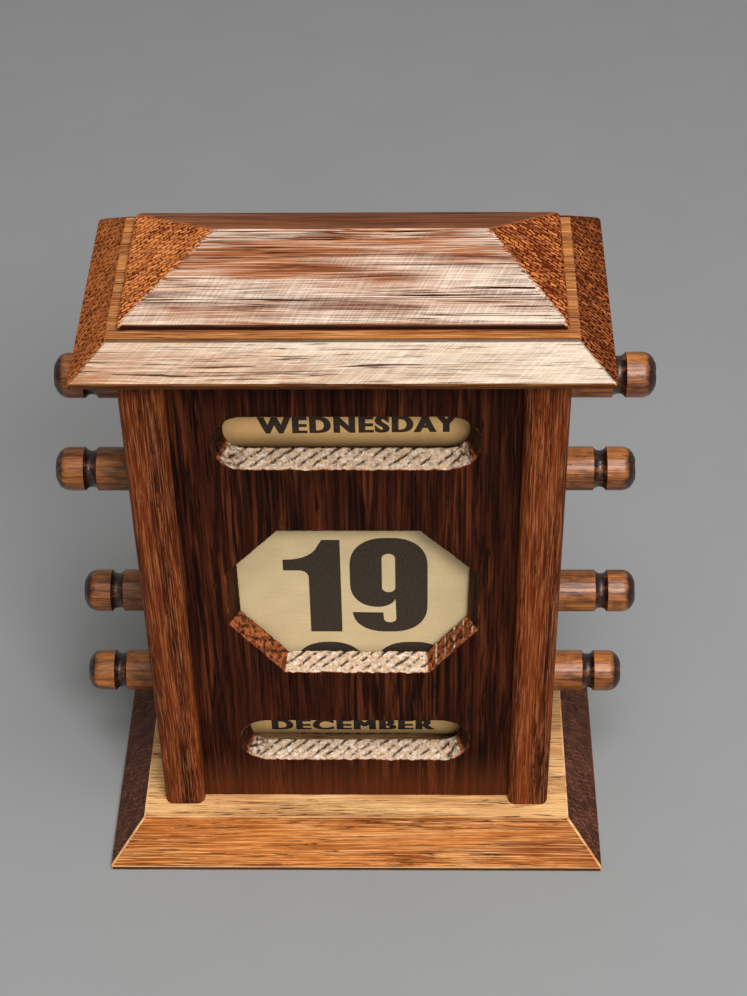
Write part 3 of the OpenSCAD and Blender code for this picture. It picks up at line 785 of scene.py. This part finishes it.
# The three windows in millimetres: height of the middle, width and height. The octagon was sawn
# by eye, so its corners are given one by one, from its middle.
DAY_WINDOW = {"z": 157.212, "w": 72.6, "h": 18.2}
MONTH_WINDOW = {"z": 38.6, "w": 69.6, "h": 17.5}
DATE_WINDOW = {
    "z": 97.005,
    "w": 73.8,
    "h": 56.5,
    "corners": (
        *((36.9, 11.0), (19.9, 28.25), (-19.9, 28.25), (-35.4, 11.5)),
        *((-35.2, -8.4), (-19.7, -28.1), (22.4, -28.3), (36.5, -10.4)),
    ),
}
# How far each side of a window slopes inwards through the panel, in millimetres.
SLOPE_TOP = 3.0
SLOPE_SIDE = 2.8
SLOPE_SLANT = 2.1
SLOPE_BOTTOM = 2.6
# How far apart the points round a window lie, in millimetres, and into how many rings its slope is cut.
POINT_STEP = 0.4
SLOPE_RINGS = 13
# The rings before the slope begins: how far out on the face, and how deep, in millimetres.
LIP_RINGS = ((1.3, 0.0), (0.45, 0.0), (0.12, 0.08), (0.0, 0.35))
# How far the first rings move with the tearing, are rubbed, and are bare; the others are as the last.
RING_MOVES = (0.0, 0.35, 1.0)
RING_RUBS = (0.0, 0.0, 1.0, 0.8, 0.3, 0.0)
RING_BARE = (0.0, 0.0, 0.7, 1.0)
# The dashes that the saw tore: how far apart, how far they lean over the slope, and half their width
# as a share of the distance. The pale lines on the right slant have their own.
DASH_PITCH = 4.1
DASH_LEAN = 8.0
DASH_HALF = 0.19
LINE_PITCH = 2.6
LINE_HALF = 0.16


def slope_of(out):
    """How far a window's side that faces this way slopes inwards."""
    if abs(out.x) > 0.9:
        return SLOPE_SIDE
    if abs(out.y) > 0.9:
        return SLOPE_TOP if out.y > 0.0 else SLOPE_BOTTOM
    return SLOPE_SLANT


def meeting(n1, d1, n2, d2):
    """Where two lines meet that lie at the distances d1 and d2 along their normals."""
    cross = n1.x * n2.y - n1.y * n2.x
    return Vector(((d1 * n2.y - d2 * n1.y) / cross, (d2 * n1.x - d1 * n2.x) / cross))


def octagon_samples(corners):
    """Points round a window with straight sides, whose corners go round anticlockwise."""
    outer = [Vector(corner) for corner in corners]
    outs = []
    for a, b in zip(outer, outer[1:] + outer[:1]):
        outs.append(Vector((b.y - a.y, a.x - b.x)).normalized())
    inner = []
    for corner, n1, n2 in zip(outer, outs[-1:] + outs[:-1], outs):
        # The corner where the two neighbouring sides meet at the back of the panel.
        inner.append(meeting(n1, n1.dot(corner) - slope_of(n1), n2, n2.dot(corner) - slope_of(n2)))
    samples = []
    sides = zip(outer, outer[1:] + outer[:1], inner, inner[1:] + inner[:1], outs)
    for a, b, c, d, out in sides:
        pieces = round((b - a).length / POINT_STEP)
        samples += [(a.lerp(b, k / pieces), c.lerp(d, k / pieces), out) for k in range(pieces)]
    return samples


def slot_samples(half_w, half_h):
    """Points round a slot with round ends."""
    samples = []
    reach = half_w - half_h
    back_h = half_h - (SLOPE_TOP + SLOPE_BOTTOM) / 2
    rise = (SLOPE_BOTTOM - SLOPE_TOP) / 2
    bend = round(math.pi * half_h / POINT_STEP)
    flat = round(2 * reach / POINT_STEP)
    for side in (1, -1):
        for k in range(bend):
            turn = math.pi * (k / bend - side / 2)
            out = Vector((math.cos(turn), math.sin(turn)))
            centre = Vector((side * reach, 0.0))
            deep = Vector((out.x * (half_h - SLOPE_SIDE), out.y * back_h + rise))
            samples.append((centre + out * half_h, centre + deep, out))
        for k in range(flat):
            x = side * (reach - 2 * reach * k / flat)
            out = Vector((0.0, float(side)))
            deep = Vector((x, side * back_h + rise))
            samples.append((Vector((x, side * half_h)), deep, out))
    return samples


def window_samples(window):
    """Points round a window in millimetres: (at the face, at the back, direction to the wood)."""
    if "corners" in window:
        samples = octagon_samples(window["corners"])
    else:
        samples = slot_samples(window["w"] / 2, window["h"] / 2)
    lift = Vector((0.0, window["z"]))
    return [(a + lift, b + lift, out) for a, b, out in samples]


def rough(x, y, z, size):
    """Fractal noise from about -1 to 1 at a place in millimetres."""
    return mathutils.noise.fractal(Vector((x, y, z)) / size, 0.8, 2.2, 3)


def clamped(value):
    """The value, kept from 0 to 1."""
    return min(1.0, max(0.0, value))


def ring_entry(values, ring):
    """What a list says for that ring: its last entry holds for all further ones."""
    return values[min(ring, len(values) - 1)]


def torn_point(window, sample, ring, face_y, back_y):
    """One point of a window's cut in millimetres, and how bare, dirty and rubbed the wood is there."""
    outer, inner, out = sample
    is_octagon = "corners" in window
    below = max(0.0, -out.y)
    raw = 1.0 if below > 0.9 else (0.45 if below > 0.5 else 0.0)
    if not is_octagon:
        raw = clamped((below - 0.45) / 0.3)
    part = 0.0
    if ring < len(LIP_RINGS):
        spread, deep = LIP_RINGS[ring]
        spot = outer + out * spread
    else:
        part = (ring - len(LIP_RINGS) + 1) / SLOPE_RINGS
        spot = outer.lerp(inner, part)
        deep = LIP_RINGS[-1][1] + (back_y - face_y - LIP_RINGS[-1][1]) * part
    y = face_y + deep
    tear = rough(spot.x, y, spot.y, 1.3) * (0.1 + 0.36 * raw) * (1.0 - 0.5 * part)
    chip = rough(spot.x, 0.0, spot.y, 4.5) * (0.1 + 0.45 * raw) * (1.0 - part)
    # Short dashes that the saw tore, in slanting rows that lean to the right.
    row = (spot.x - DASH_LEAN * part + 0.8 * rough(spot.x, 7.0, spot.y, 6.0)) / DASH_PITCH
    near_row = 1.0 - abs((row % 1.0) - 0.5) / DASH_HALF
    broken = rough(spot.x * 1.2, 3.0, 9.0 * part, 2.0) + 0.35
    dash = clamped(2.4 * near_row) * clamped(2.2 * broken)
    dash *= min(1.0, 4.0 * part) if raw > 0.4 else 0.0
    spot = spot + out * (tear + chip + 0.35 * dash) * ring_entry(RING_MOVES, ring)
    wear = (0.7 if abs(out.x) > 0.3 else 0.3) * (0.25 + 1.3 * rough(spot.x, 1.0, spot.y, 5.0))
    rub = clamped(ring_entry(RING_RUBS, ring) * wear)
    bare = raw * ring_entry(RING_BARE, ring)
    # The ends of the slots, and the slanting sides, are darker in patches.
    ends = clamped((abs(spot.x) - window["w"] / 2 + window["h"] / 2) / 3.0)
    grime = max(0.0, rough(spot.x, y + 9.0, spot.y, 1.1) + 0.15) * 1.6
    if not is_octagon:
        dash = max(dash, ends * grime)
    elif 0.3 < raw < 0.9:
        dash = max(dash, 0.5 * grime)
        # Pale saw lines cross the slanting side on the right.
        if out.x > 0.0 and ring >= len(LIP_RINGS):
            line = 1.0 - abs((spot.x / LINE_PITCH % 1.0) - 0.5) / LINE_HALF
            bare += 0.6 * max(0.0, line) * (0.6 + 0.6 * rough(spot.x, 5.0, spot.y, 2.0))
    dirt = clamped(dash) if ring > 1 else 0.0
    return (spot.x, y, spot.y), (bare, dirt, rub, 1.0)


def build_panel(context):
    """The front panel's mesh, with its windows' sides torn and chipped, and the cut painted on it."""
    low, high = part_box("front_panel")
    shape = bmesh.new()
    paint = {}
    fronts, backs = [], []
    for window in (DAY_WINDOW, DATE_WINDOW, MONTH_WINDOW):
        samples = window_samples(window)
        loops = []
        for ring in range(len(LIP_RINGS) + SLOPE_RINGS):
            loop = []
            for sample in samples:
                place, colour = torn_point(window, sample, ring, low.y / MM, high.y / MM)
                vertex = shape.verts.new([part * MM for part in place])
                paint[vertex] = colour
                loop.append(vertex)
            loops.append(loop)
        for near, far in zip(loops, loops[1:]):
            for k, vertex in enumerate(near):
                after = (k + 1) % len(near)
                shape.faces.new((vertex, near[after], far[after], far[k]))
        fronts.append(loops[0])
        backs.append(loops[-1])
    edge = [(low.x, low.z), (high.x, low.z), (high.x, high.z), (low.x, high.z)]
    for y, loops in ((low.y, fronts), (high.y, backs)):
        loops.append([shape.verts.new((x, y, z)) for x, z in edge])
        rim = []
        for loop in loops:
            for pair in zip(loop, loop[1:] + loop[:1]):
                rim.append(shape.edges.get(pair) or shape.edges.new(pair))
        bmesh.ops.triangle_fill(shape, use_beauty=True, use_dissolve=False, edges=rim)
    for k in range(len(edge)):
        after = (k + 1) % len(edge)
        shape.faces.new((fronts[-1][k], fronts[-1][after], backs[-1][after], backs[-1][k]))
    bmesh.ops.recalc_face_normals(shape, faces=shape.faces)
    shape.verts.index_update()
    colours = [paint.get(vertex, (0.0, 0.0, 0.0, 1.0)) for vertex in shape.verts]
    made = mesh_piece(context, "front_panel_cut", [], [], "stained_oak_cut_panel")
    shape.to_mesh(made.data)
    shape.free()
    painted = made.data.color_attributes.new("cut", "FLOAT_COLOR", "POINT")
    for slot, colour in zip(painted.data, colours):
        slot.color = colour
    return made


class CALENDAR_OT_front_panel(bpy.types.Operator):
    """Cuts the front panel with its three torn windows"""

    bl_idname = "calendar.front_panel"
    bl_label = "Front panel"

    def execute(self, context):
        dress(context, "front_panel", "stained_oak_panel")
        made = build_panel(context)
        # The small faces are the torn cuts; the large ones are the flat panel.
        for face in made.data.polygons:
            face.use_smooth = face.area < MM * MM
        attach(made, "case")
        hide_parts("front_panel")
        return {"FINISHED"}


class CALENDAR_OT_knobs(bpy.types.Operator):
    """Finishes the eight turned knobs"""

    bl_idname = "calendar.knobs"
    bl_label = "Knobs"

    def execute(self, context):
        for stem in KNOB_ENDS:
            for side in ("left", "right"):
                dress(context, f"{stem}_{side}", KNOB_FINISH + stem)
        return {"FINISHED"}


class CALENDAR_OT_works(bpy.types.Operator):
    """Finishes the drums, rollers, bands, coils, dowels and screws"""

    bl_idname = "calendar.works"
    bl_label = "Works"

    def execute(self, context):
        for name in PLAIN_WOOD_NODES:
            dress(context, name, "bare_beech")
        for name in ("day_band", "month_band"):
            dress(context, name, "aged_paper")
        for name in ("upper_date_coil", "lower_date_coil"):
            dress(context, name, "aged_linen")
        dress(context, "back_screws", "dulled_brass")
        for name in ("base_screws", "roof_screws"):
            dress(context, name, "dulled_zinc_steel")
        return {"FINISHED"}


# The linen runs off one coil, round the board's two edges and onto the other coil.
LINEN_THICK = 0.3 * MM
LINEN_NOSE = 2.25 * MM
# Into how many pieces its route is cut round each edge, from there to the coil, and on the flat; and
# the linen across.
NOSE_STEPS = 12
FREE_STEPS = 8
FLAT_STEPS = 30
LINEN_COLUMNS = 46


def on_circle(centre, reach, angle):
    """The place on a circle at that angle."""
    return centre + reach * Vector((math.cos(angle), math.sin(angle)))


def linen_route(lift=0.0):
    """The linen's middle line from lower coil to upper coil as (y, z), raised by lift."""
    board_low, board_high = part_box("date_board")
    nose_y = (board_low.y + board_high.y) / 2
    half = (board_high.y - board_low.y) / 2
    route = []
    for end, side in (("lower_date_coil", -1), ("upper_date_coil", 1)):
        low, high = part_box(end)
        coil = Vector(((low.y + high.y) / 2, (low.z + high.z) / 2))
        coil_reach = (high.y - low.y) / 2 + LINEN_THICK / 2 + lift
        nose = Vector((nose_y, board_low.z + half if side < 0 else board_high.z - half))
        nose_reach = LINEN_NOSE + lift
        away = coil - nose
        touch = math.atan2(away.y, away.x) + side * math.acos((nose_reach - coil_reach) / away.length)
        start = math.pi if side > 0 else -math.pi
        part = []
        for step in range(NOSE_STEPS + 1):
            part.append(on_circle(nose, nose_reach, start + (touch - start) * step / NOSE_STEPS))
        first, last = part[-1], on_circle(coil, coil_reach, touch)
        part += [first.lerp(last, step / FREE_STEPS) for step in range(1, FREE_STEPS + 1)]
        route.append(part)
    lower, upper = route
    flat = [lower[0].lerp(upper[0], step / FLAT_STEPS) for step in range(1, FLAT_STEPS)]
    return [*reversed(lower), *flat, *upper]


class Route:
    """A line in the (y, z) plane that can be read by the distance along it from a height on its flat."""

    def __init__(self, points, zero_z):
        self.points = points
        self.marks = [0.0]
        for a, b in zip(points, points[1:]):
            self.marks.append(self.marks[-1] + (b - a).length)
        flat_y = points[len(points) // 2].x
        away = [abs(point.y - zero_z) + abs(point.x - flat_y) for point in points]
        nearest = away.index(min(away))
        self.zero = self.marks[nearest] + (zero_z - points[nearest].y)

    def at(self, distance):
        """The (y, z) place at that distance from the zero."""
        want = min(max(distance + self.zero, 0.0), self.marks[-1])
        low = 0
        while low < len(self.marks) - 2 and self.marks[low + 1] < want:
            low += 1
        span = self.marks[low + 1] - self.marks[low]
        return self.points[low].lerp(self.points[low + 1], (want - self.marks[low]) / span)


class CALENDAR_OT_linen(bpy.types.Operator):
    """Stretches the date linen over its board, from coil to coil"""

    bl_idname = "calendar.linen"
    bl_label = "Date linen"

    def execute(self, context):
        route = linen_route()
        low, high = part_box("date_linen")
        width = high.x - low.x
        xs = [low.x + width * column / LINEN_COLUMNS for column in range(LINEN_COLUMNS + 1)]
        points = [(x, y, z) for y, z in route for x in xs]
        faces = []
        for row in range(len(route) - 1):
            for column in range(LINEN_COLUMNS):
                first = row * len(xs) + column
                faces.append((first, first + 1, first + len(xs) + 1, first + len(xs)))
        cloth = mesh_piece(context, "date_linen_cloth", points, faces, "aged_linen")
        thick = cloth.modifiers.new("cloth", "SOLIDIFY")
        thick.thickness = LINEN_THICK
        thick.offset = 0.0
        for face in cloth.data.polygons:
            face.use_smooth = True
        length = sum((b - a).length for a, b in zip(route, route[1:]))
        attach(cloth, "case")
        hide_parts("date_linen")
        return {"FINISHED"}


# The print's own sizes: how finely it is cut to follow its surface, and how thick the ink stands.
NAME_STRIP = 0.6 * MM
DATE_STRIP = 0.5 * MM
INK_THICK = 0.06 * MM
INK_LIFT = 0.01 * MM
# The plain font made heavy and wide, in the font's own units: how far its uprights and its bars are
# moved outwards, the space between its letters, and how much wider it is drawn.
STEM_GROWTH = 0.072
BAR_GROWTH = 0.022
LETTER_SPACE = 1.22
WIDENED = 1.05
SAME_POINT = 1e-5
# Where the first name stands on each drum: its angle above the front, how far it is to the right,
# how wide it is, and how far it rises to the right.
DAY_PRINT = {"first_angle": -4.2, "shift": 2.85 * MM, "first_width": 54.4 * MM, "tilt": 0.012}
MONTH_PRINT = {"first_angle": -11.6, "shift": -0.75 * MM, "first_width": 50.6 * MM, "tilt": 0.006}


def arc(cx, cy, rx, ry, start, end, steps=14, squareness=1.0):
    """Points on an elliptical arc, in degrees; a squareness under 1 fills its corners."""
    points = []
    for i in range(steps + 1):
        turn = math.radians(start + (end - start) * i / steps)
        x, y = math.cos(turn), math.sin(turn)
        x = math.copysign(abs(x) ** squareness, x)
        y = math.copysign(abs(y) ** squareness, y)
        points.append((cx + rx * x, cy + ry * y))
    return points


def curve_mesh(context, curve):
    """The mesh of a curve or text, whose object is then thrown away."""
    carrier = bpy.data.objects.new("outline", curve)
    context.scene.collection.objects.link(carrier)
    shape = bpy.data.meshes.new_from_object(carrier.evaluated_get(context.evaluated_depsgraph_get()))
    bpy.data.objects.remove(carrier)
    bpy.data.curves.remove(curve)
    return shape


def flat_shape(context, outlines):
    """A flat filled mesh from closed outlines; an outline inside another is a hole."""
    curve = bpy.data.curves.new("outline", "CURVE")
    curve.dimensions = "2D"
    curve.fill_mode = "BOTH"
    for outline in outlines:
        spline = curve.splines.new("POLY")
        spline.points.add(len(outline) - 1)
        for point, (x, y) in zip(spline.points, outline):
            point.co = (x, y, 0.0, 1.0)
        spline.use_cyclic_u = True
    return curve_mesh(context, curve)


def thickened(shape):
    """Moves a flat shape's outline outwards, which makes its uprights and its bars heavier."""
    held = bmesh.new()
    held.from_mesh(shape)
    bmesh.ops.remove_doubles(held, verts=held.verts, dist=SAME_POINT)
    moves = {}
    for vertex in held.verts:
        rows = []
        for edge in vertex.link_edges:
            if len(edge.link_faces) != 1:
                continue
            along = edge.other_vert(vertex).co - vertex.co
            out = Vector((along.y, -along.x)).normalized()
            inside = edge.link_faces[0].calc_center_median() - vertex.co
            if out.dot(inside.xy) > 0.0:
                out = -out
            rows.append((out, math.hypot(STEM_GROWTH * out.x, BAR_GROWTH * out.y)))
        if len(rows) != 2:
            continue
        (n1, d1), (n2, d2) = rows
        # Two edges that run nearly straight on have no sharp meeting point.
        if abs(n1.x * n2.y - n1.y * n2.x) < 0.2:
            moves[vertex] = (n1 * d1 + n2 * d2) / (1.0 + n1.dot(n2))
        else:
            moves[vertex] = meeting(n1, d1, n2, d2)
    for vertex, move in moves.items():
        vertex.co.x += move.x
        vertex.co.y += move.y
    held.to_mesh(shape)
    held.free()


def extent(shape, axis):
    """The lowest and the highest place of a shape along an axis."""
    places = [v.co[axis] for v in shape.vertices]
    return min(places), max(places)


def flat_words(context, text, height):
    """Heavy, wide words as a flat centred mesh, with that height of capitals."""
    curve = bpy.data.curves.new("words", "FONT")
    curve.body = text
    curve.space_character = LETTER_SPACE
    curve.resolution_u = 4
    shape = curve_mesh(context, curve)
    thickened(shape)
    left, right = extent(shape, 0)
    foot, head = extent(shape, 1)
    grow = height / (head - foot)
    for v in shape.vertices:
        x = (v.co.x - (right + left) / 2) * grow * WIDENED
        v.co = (x, (v.co.y - (head + foot) / 2) * grow, 0.0)
    return shape


def printed(context, name, shape, bend, strip, limits=()):
    """A flat shape cut into strips across its height and laid on a surface by bend(x, y).

    What lies below the first limit or above the second is cut away.
    """
    cut = bmesh.new()
    cut.from_mesh(shape)
    bmesh.ops.remove_doubles(cut, verts=cut.verts, dist=0.001 * MM)

    def cross(level, way, clear=False):
        """Cuts across the shape at that height, and clears what lies further that way if asked."""
        plane = {"plane_co": (0.0, level, 0.0), "plane_no": (0.0, way, 0.0)}
        bmesh.ops.bisect_plane(cut, geom=[*cut.verts, *cut.edges, *cut.faces], clear_outer=clear, **plane)

    for limit, way in zip(limits, (-1.0, 1.0)):
        cross(limit, way, True)
    ys = [v.co.y for v in cut.verts]
    level = math.floor(min(ys) / strip) * strip
    while level < max(ys):
        cross(level, 1.0)
        level += strip
    for v in cut.verts:
        v.co = bend(v.co.x, v.co.y)
    bmesh.ops.recalc_face_normals(cut, faces=cut.faces)
    made = mesh_piece(context, name, [], [], "printing_ink")
    cut.to_mesh(made.data)
    cut.free()
    bpy.data.meshes.remove(shape)
    film = made.modifiers.new("ink_film", "SOLIDIFY")
    film.thickness = INK_THICK
    film.offset = 0.0
    return made


def print_names(context, names, band, body, first_angle, shift, first_width, tilt):
    """Prints names round a drum's band, the first one at the front and as wide as asked."""
    low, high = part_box(band)
    axis = Vector((shift, (low.y + high.y) / 2, (low.z + high.z) / 2))
    reach = (high.z - low.z) / 2 + INK_LIFT
    shapes = [flat_words(context, text, context.scene.calendar_print.name_height) for text in names]
    left, right = extent(shapes[0], 0)
    spread = first_width / (right - left)
    for number, (text, shape) in enumerate(zip(names, shapes)):
        middle = math.radians(first_angle) - number * 2 * math.pi / len(names)

        def bend(x, y):
            angle = middle + (y + x * tilt) / reach
            return (axis.x + x * spread, axis.y - reach * math.cos(angle), axis.z + reach * math.sin(angle))

        name = printed(context, f"name_{text.lower()}", shape, bend, NAME_STRIP)
        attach(name, body)


class CALENDAR_OT_day_names(bpy.types.Operator):
    """Prints the seven day names on the upper drum"""

    bl_idname = "calendar.day_names"
    bl_label = "Day names"

    def execute(self, context):
        print_names(context, DAY_NAMES, "day_band", "day_turner", **DAY_PRINT)
        return {"FINISHED"}


class CALENDAR_OT_month_names(bpy.types.Operator):
    """Prints the twelve month names on the lower drum"""

    bl_idname = "calendar.month_names"
    bl_label = "Month names"

    def execute(self, context):
        print_names(context, MONTH_NAMES, "month_band", "month_turner", **MONTH_PRINT)
        return {"FINISHED"}


def slit(low, high):
    """A narrow upright opening with round ends, in the middle of a round figure."""
    return (11.0, low + 1.9, 1.9, 1.9, 180.0, 360.0), (11.0, high - 1.9, 1.9, 1.9, 0.0, 180.0)


# The outline of a 0 and an 8.
BOWL = (
    (10.4, 11.0, 10.4, 11.6, 180.0, 270.0, 14, 0.87),
    (11.6, 11.0, 10.4, 11.6, 270.0, 360.0, 14, 0.87),
    (11.6, 27.4, 10.4, 11.6, 0.0, 90.0, 14, 0.87),
    (10.4, 27.4, 10.4, 11.6, 90.0, 180.0, 14, 0.87),
)
# The heavy, narrow figures in millimetres, for that height: each one's width and outlines. An outline
# has points as pairs, and arcs as the longer rows that arc() takes.
FIGURE_HEIGHT = 38.2
FIGURES = {
    "0": (22.0, BOWL, slit(5.6, 32.8)),
    "1": (
        16.3,
        (
            *((7.2, 0.0), (16.3, 0.0), (16.3, 38.2), (11.2, 38.2)),
            (1.6, 37.4, 8.6, 7.1, -14.0, -84.0, 6),
            *((0.0, 30.2), (0.0, 25.8)),
            (4.6, 23.0, 2.6, 2.8, 90.0, 0.0, 5),
        ),
    ),
    "2": (
        21.0,
        (
            (10.4, 27.4, 10.4, 11.6, 180.0, 90.0, 14, 0.87),
            (10.6, 27.4, 10.4, 11.6, 90.0, 0.0, 14, 0.87),
            *((20.4, 22.0), (17.6, 16.0), (10.8, 7.4), (20.6, 7.4), (20.6, 0.0), (0.0, 0.0), (0.8, 8.0)),
            *((9.6, 18.6), (11.8, 24.0), (12.8, 29.0)),
            (11.0, 30.6, 1.8, 2.2, 0.0, 180.0, 8),
            *((9.2, 26.4), (0.1, 26.4)),
        ),
    ),
    "8": (22.0, BOWL, slit(5.0, 17.0), slit(22.6, 33.0)),
    "9": (
        22.0,
        (
            (10.6, 9.3, 10.05, 9.3, 184.0, 270.0, 14, 0.87),
            (11.7, 11.4, 10.4, 11.4, 270.0, 360.0, 14, 0.87),
            (11.7, 27.4, 10.4, 11.6, 0.0, 90.0, 14, 0.87),
            (10.4, 27.4, 10.4, 11.6, 90.0, 180.0, 14, 0.87),
            (8.0, 20.2, 8.0, 9.6, 180.0, 270.0, 12, 0.92),
            (8.0, 15.2, 5.1, 4.6, 272.0, 345.0, 8),
            (11.3, 5.6, 1.8, 1.6, 0.0, -180.0, 10),
            (9.4, 8.2),
        ),
        slit(16.8, 32.6),
    ),
}
FIGURE_GAP = 2.6
# The printed figures are a little wider than their outlines.
DATE_SPREAD = 1.05
# The height of the middle of the date that shows, and how far the print goes up and down from there,
# nearly to the coils.
DATE_MIDDLE = 96.6 * MM
DATE_REACH = 51.0 * MM
# Each date, how many dates it is above the one that shows, and how far to the right its middle is.
DATES = (("18", 1, 0.9 * MM), ("19", 0, 1.25 * MM), ("20", -1, 5.6 * MM))


def date_outlines(text, grow):
    """The outlines of a date's figures side by side, centred and enlarged."""
    whole = sum(FIGURES[figure][0] for figure in text) + FIGURE_GAP * (len(text) - 1)
    left = -whole / 2
    outlines = []
    for figure in text:
        width, *rows = FIGURES[figure]
        for row in rows:
            outline = []
            for item in row:
                outline += [item] if len(item) == 2 else arc(*item)
            outlines.append([((x + left) * grow * DATE_SPREAD, y * grow) for x, y in outline])
        left += width + FIGURE_GAP
    return outlines


class CALENDAR_OT_dates(bpy.types.Operator):
    """Prints the dates that lie between the two coils on the linen"""

    bl_idname = "calendar.dates"
    bl_label = "Dates"

    def execute(self, context):
        group = context.scene.calendar_print
        route = Route(linen_route(LINEN_THICK / 2), DATE_MIDDLE)
        for text, place, shift in DATES:
            shape = flat_shape(context, date_outlines(text, group.date_height / FIGURE_HEIGHT))

            def bend(x, y):
                spot = route.at(place * group.date_pitch + y - group.date_height / 2)
                return (x + shift, spot.x, spot.y)

            middle = group.date_height / 2 - place * group.date_pitch
            limits = (middle - DATE_REACH, middle + DATE_REACH)
            date = printed(context, f"date_{text}", shape, bend, DATE_STRIP, limits)
            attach(date, "case")
        return {"FINISHED"}


class CALENDAR_PT_tools(bpy.types.Panel):
    """Lists the makers in the 3D view's sidebar"""

    bl_idname = "CALENDAR_PT_tools"
    bl_label = "Perpetual desk calendar"
    bl_space_type = "VIEW_3D"
    bl_region_type = "UI"
    bl_category = "Calendar"

    def draw(self, context):
        for group in PROPERTY_GROUPS:
            box = self.layout.box()
            held = getattr(context.scene, group)
            for key in held.__annotations__:
                box.prop(held, key)
        for operator in OPERATORS:
            self.layout.operator(operator.bl_idname)


PROPERTY_GROUPS = {
    "calendar_wood": CalendarWood,
    "calendar_print": CalendarPrint,
    "calendar_studio": CalendarStudio,
}
OPERATORS = (
    CALENDAR_OT_stage,
    CALENDAR_OT_boards,
    CALENDAR_OT_case,
    CALENDAR_OT_front_panel,
    CALENDAR_OT_knobs,
    CALENDAR_OT_works,
    CALENDAR_OT_linen,
    CALENDAR_OT_dates,
    CALENDAR_OT_day_names,
    CALENDAR_OT_month_names,
)


def register():
    """Adds the settings, the makers and the panel."""
    for name, group in PROPERTY_GROUPS.items():
        bpy.utils.register_class(group)
        setattr(bpy.types.Scene, name, PointerProperty(type=group))
    for operator in OPERATORS:
        bpy.utils.register_class(operator)
    bpy.utils.register_class(CALENDAR_PT_tools)


def unregister():
    """Takes away what register added."""
    bpy.utils.unregister_class(CALENDAR_PT_tools)
    for operator in reversed(OPERATORS):
        bpy.utils.unregister_class(operator)
    for name, group in PROPERTY_GROUPS.items():
        delattr(bpy.types.Scene, name)
        bpy.utils.unregister_class(group)


def main():
    """Makes everything in order."""
    register()
    for operator in OPERATORS:
        area, call = operator.bl_idname.split(".")
        getattr(getattr(bpy.ops, area), call)()


if __name__ == "__main__":
    main()
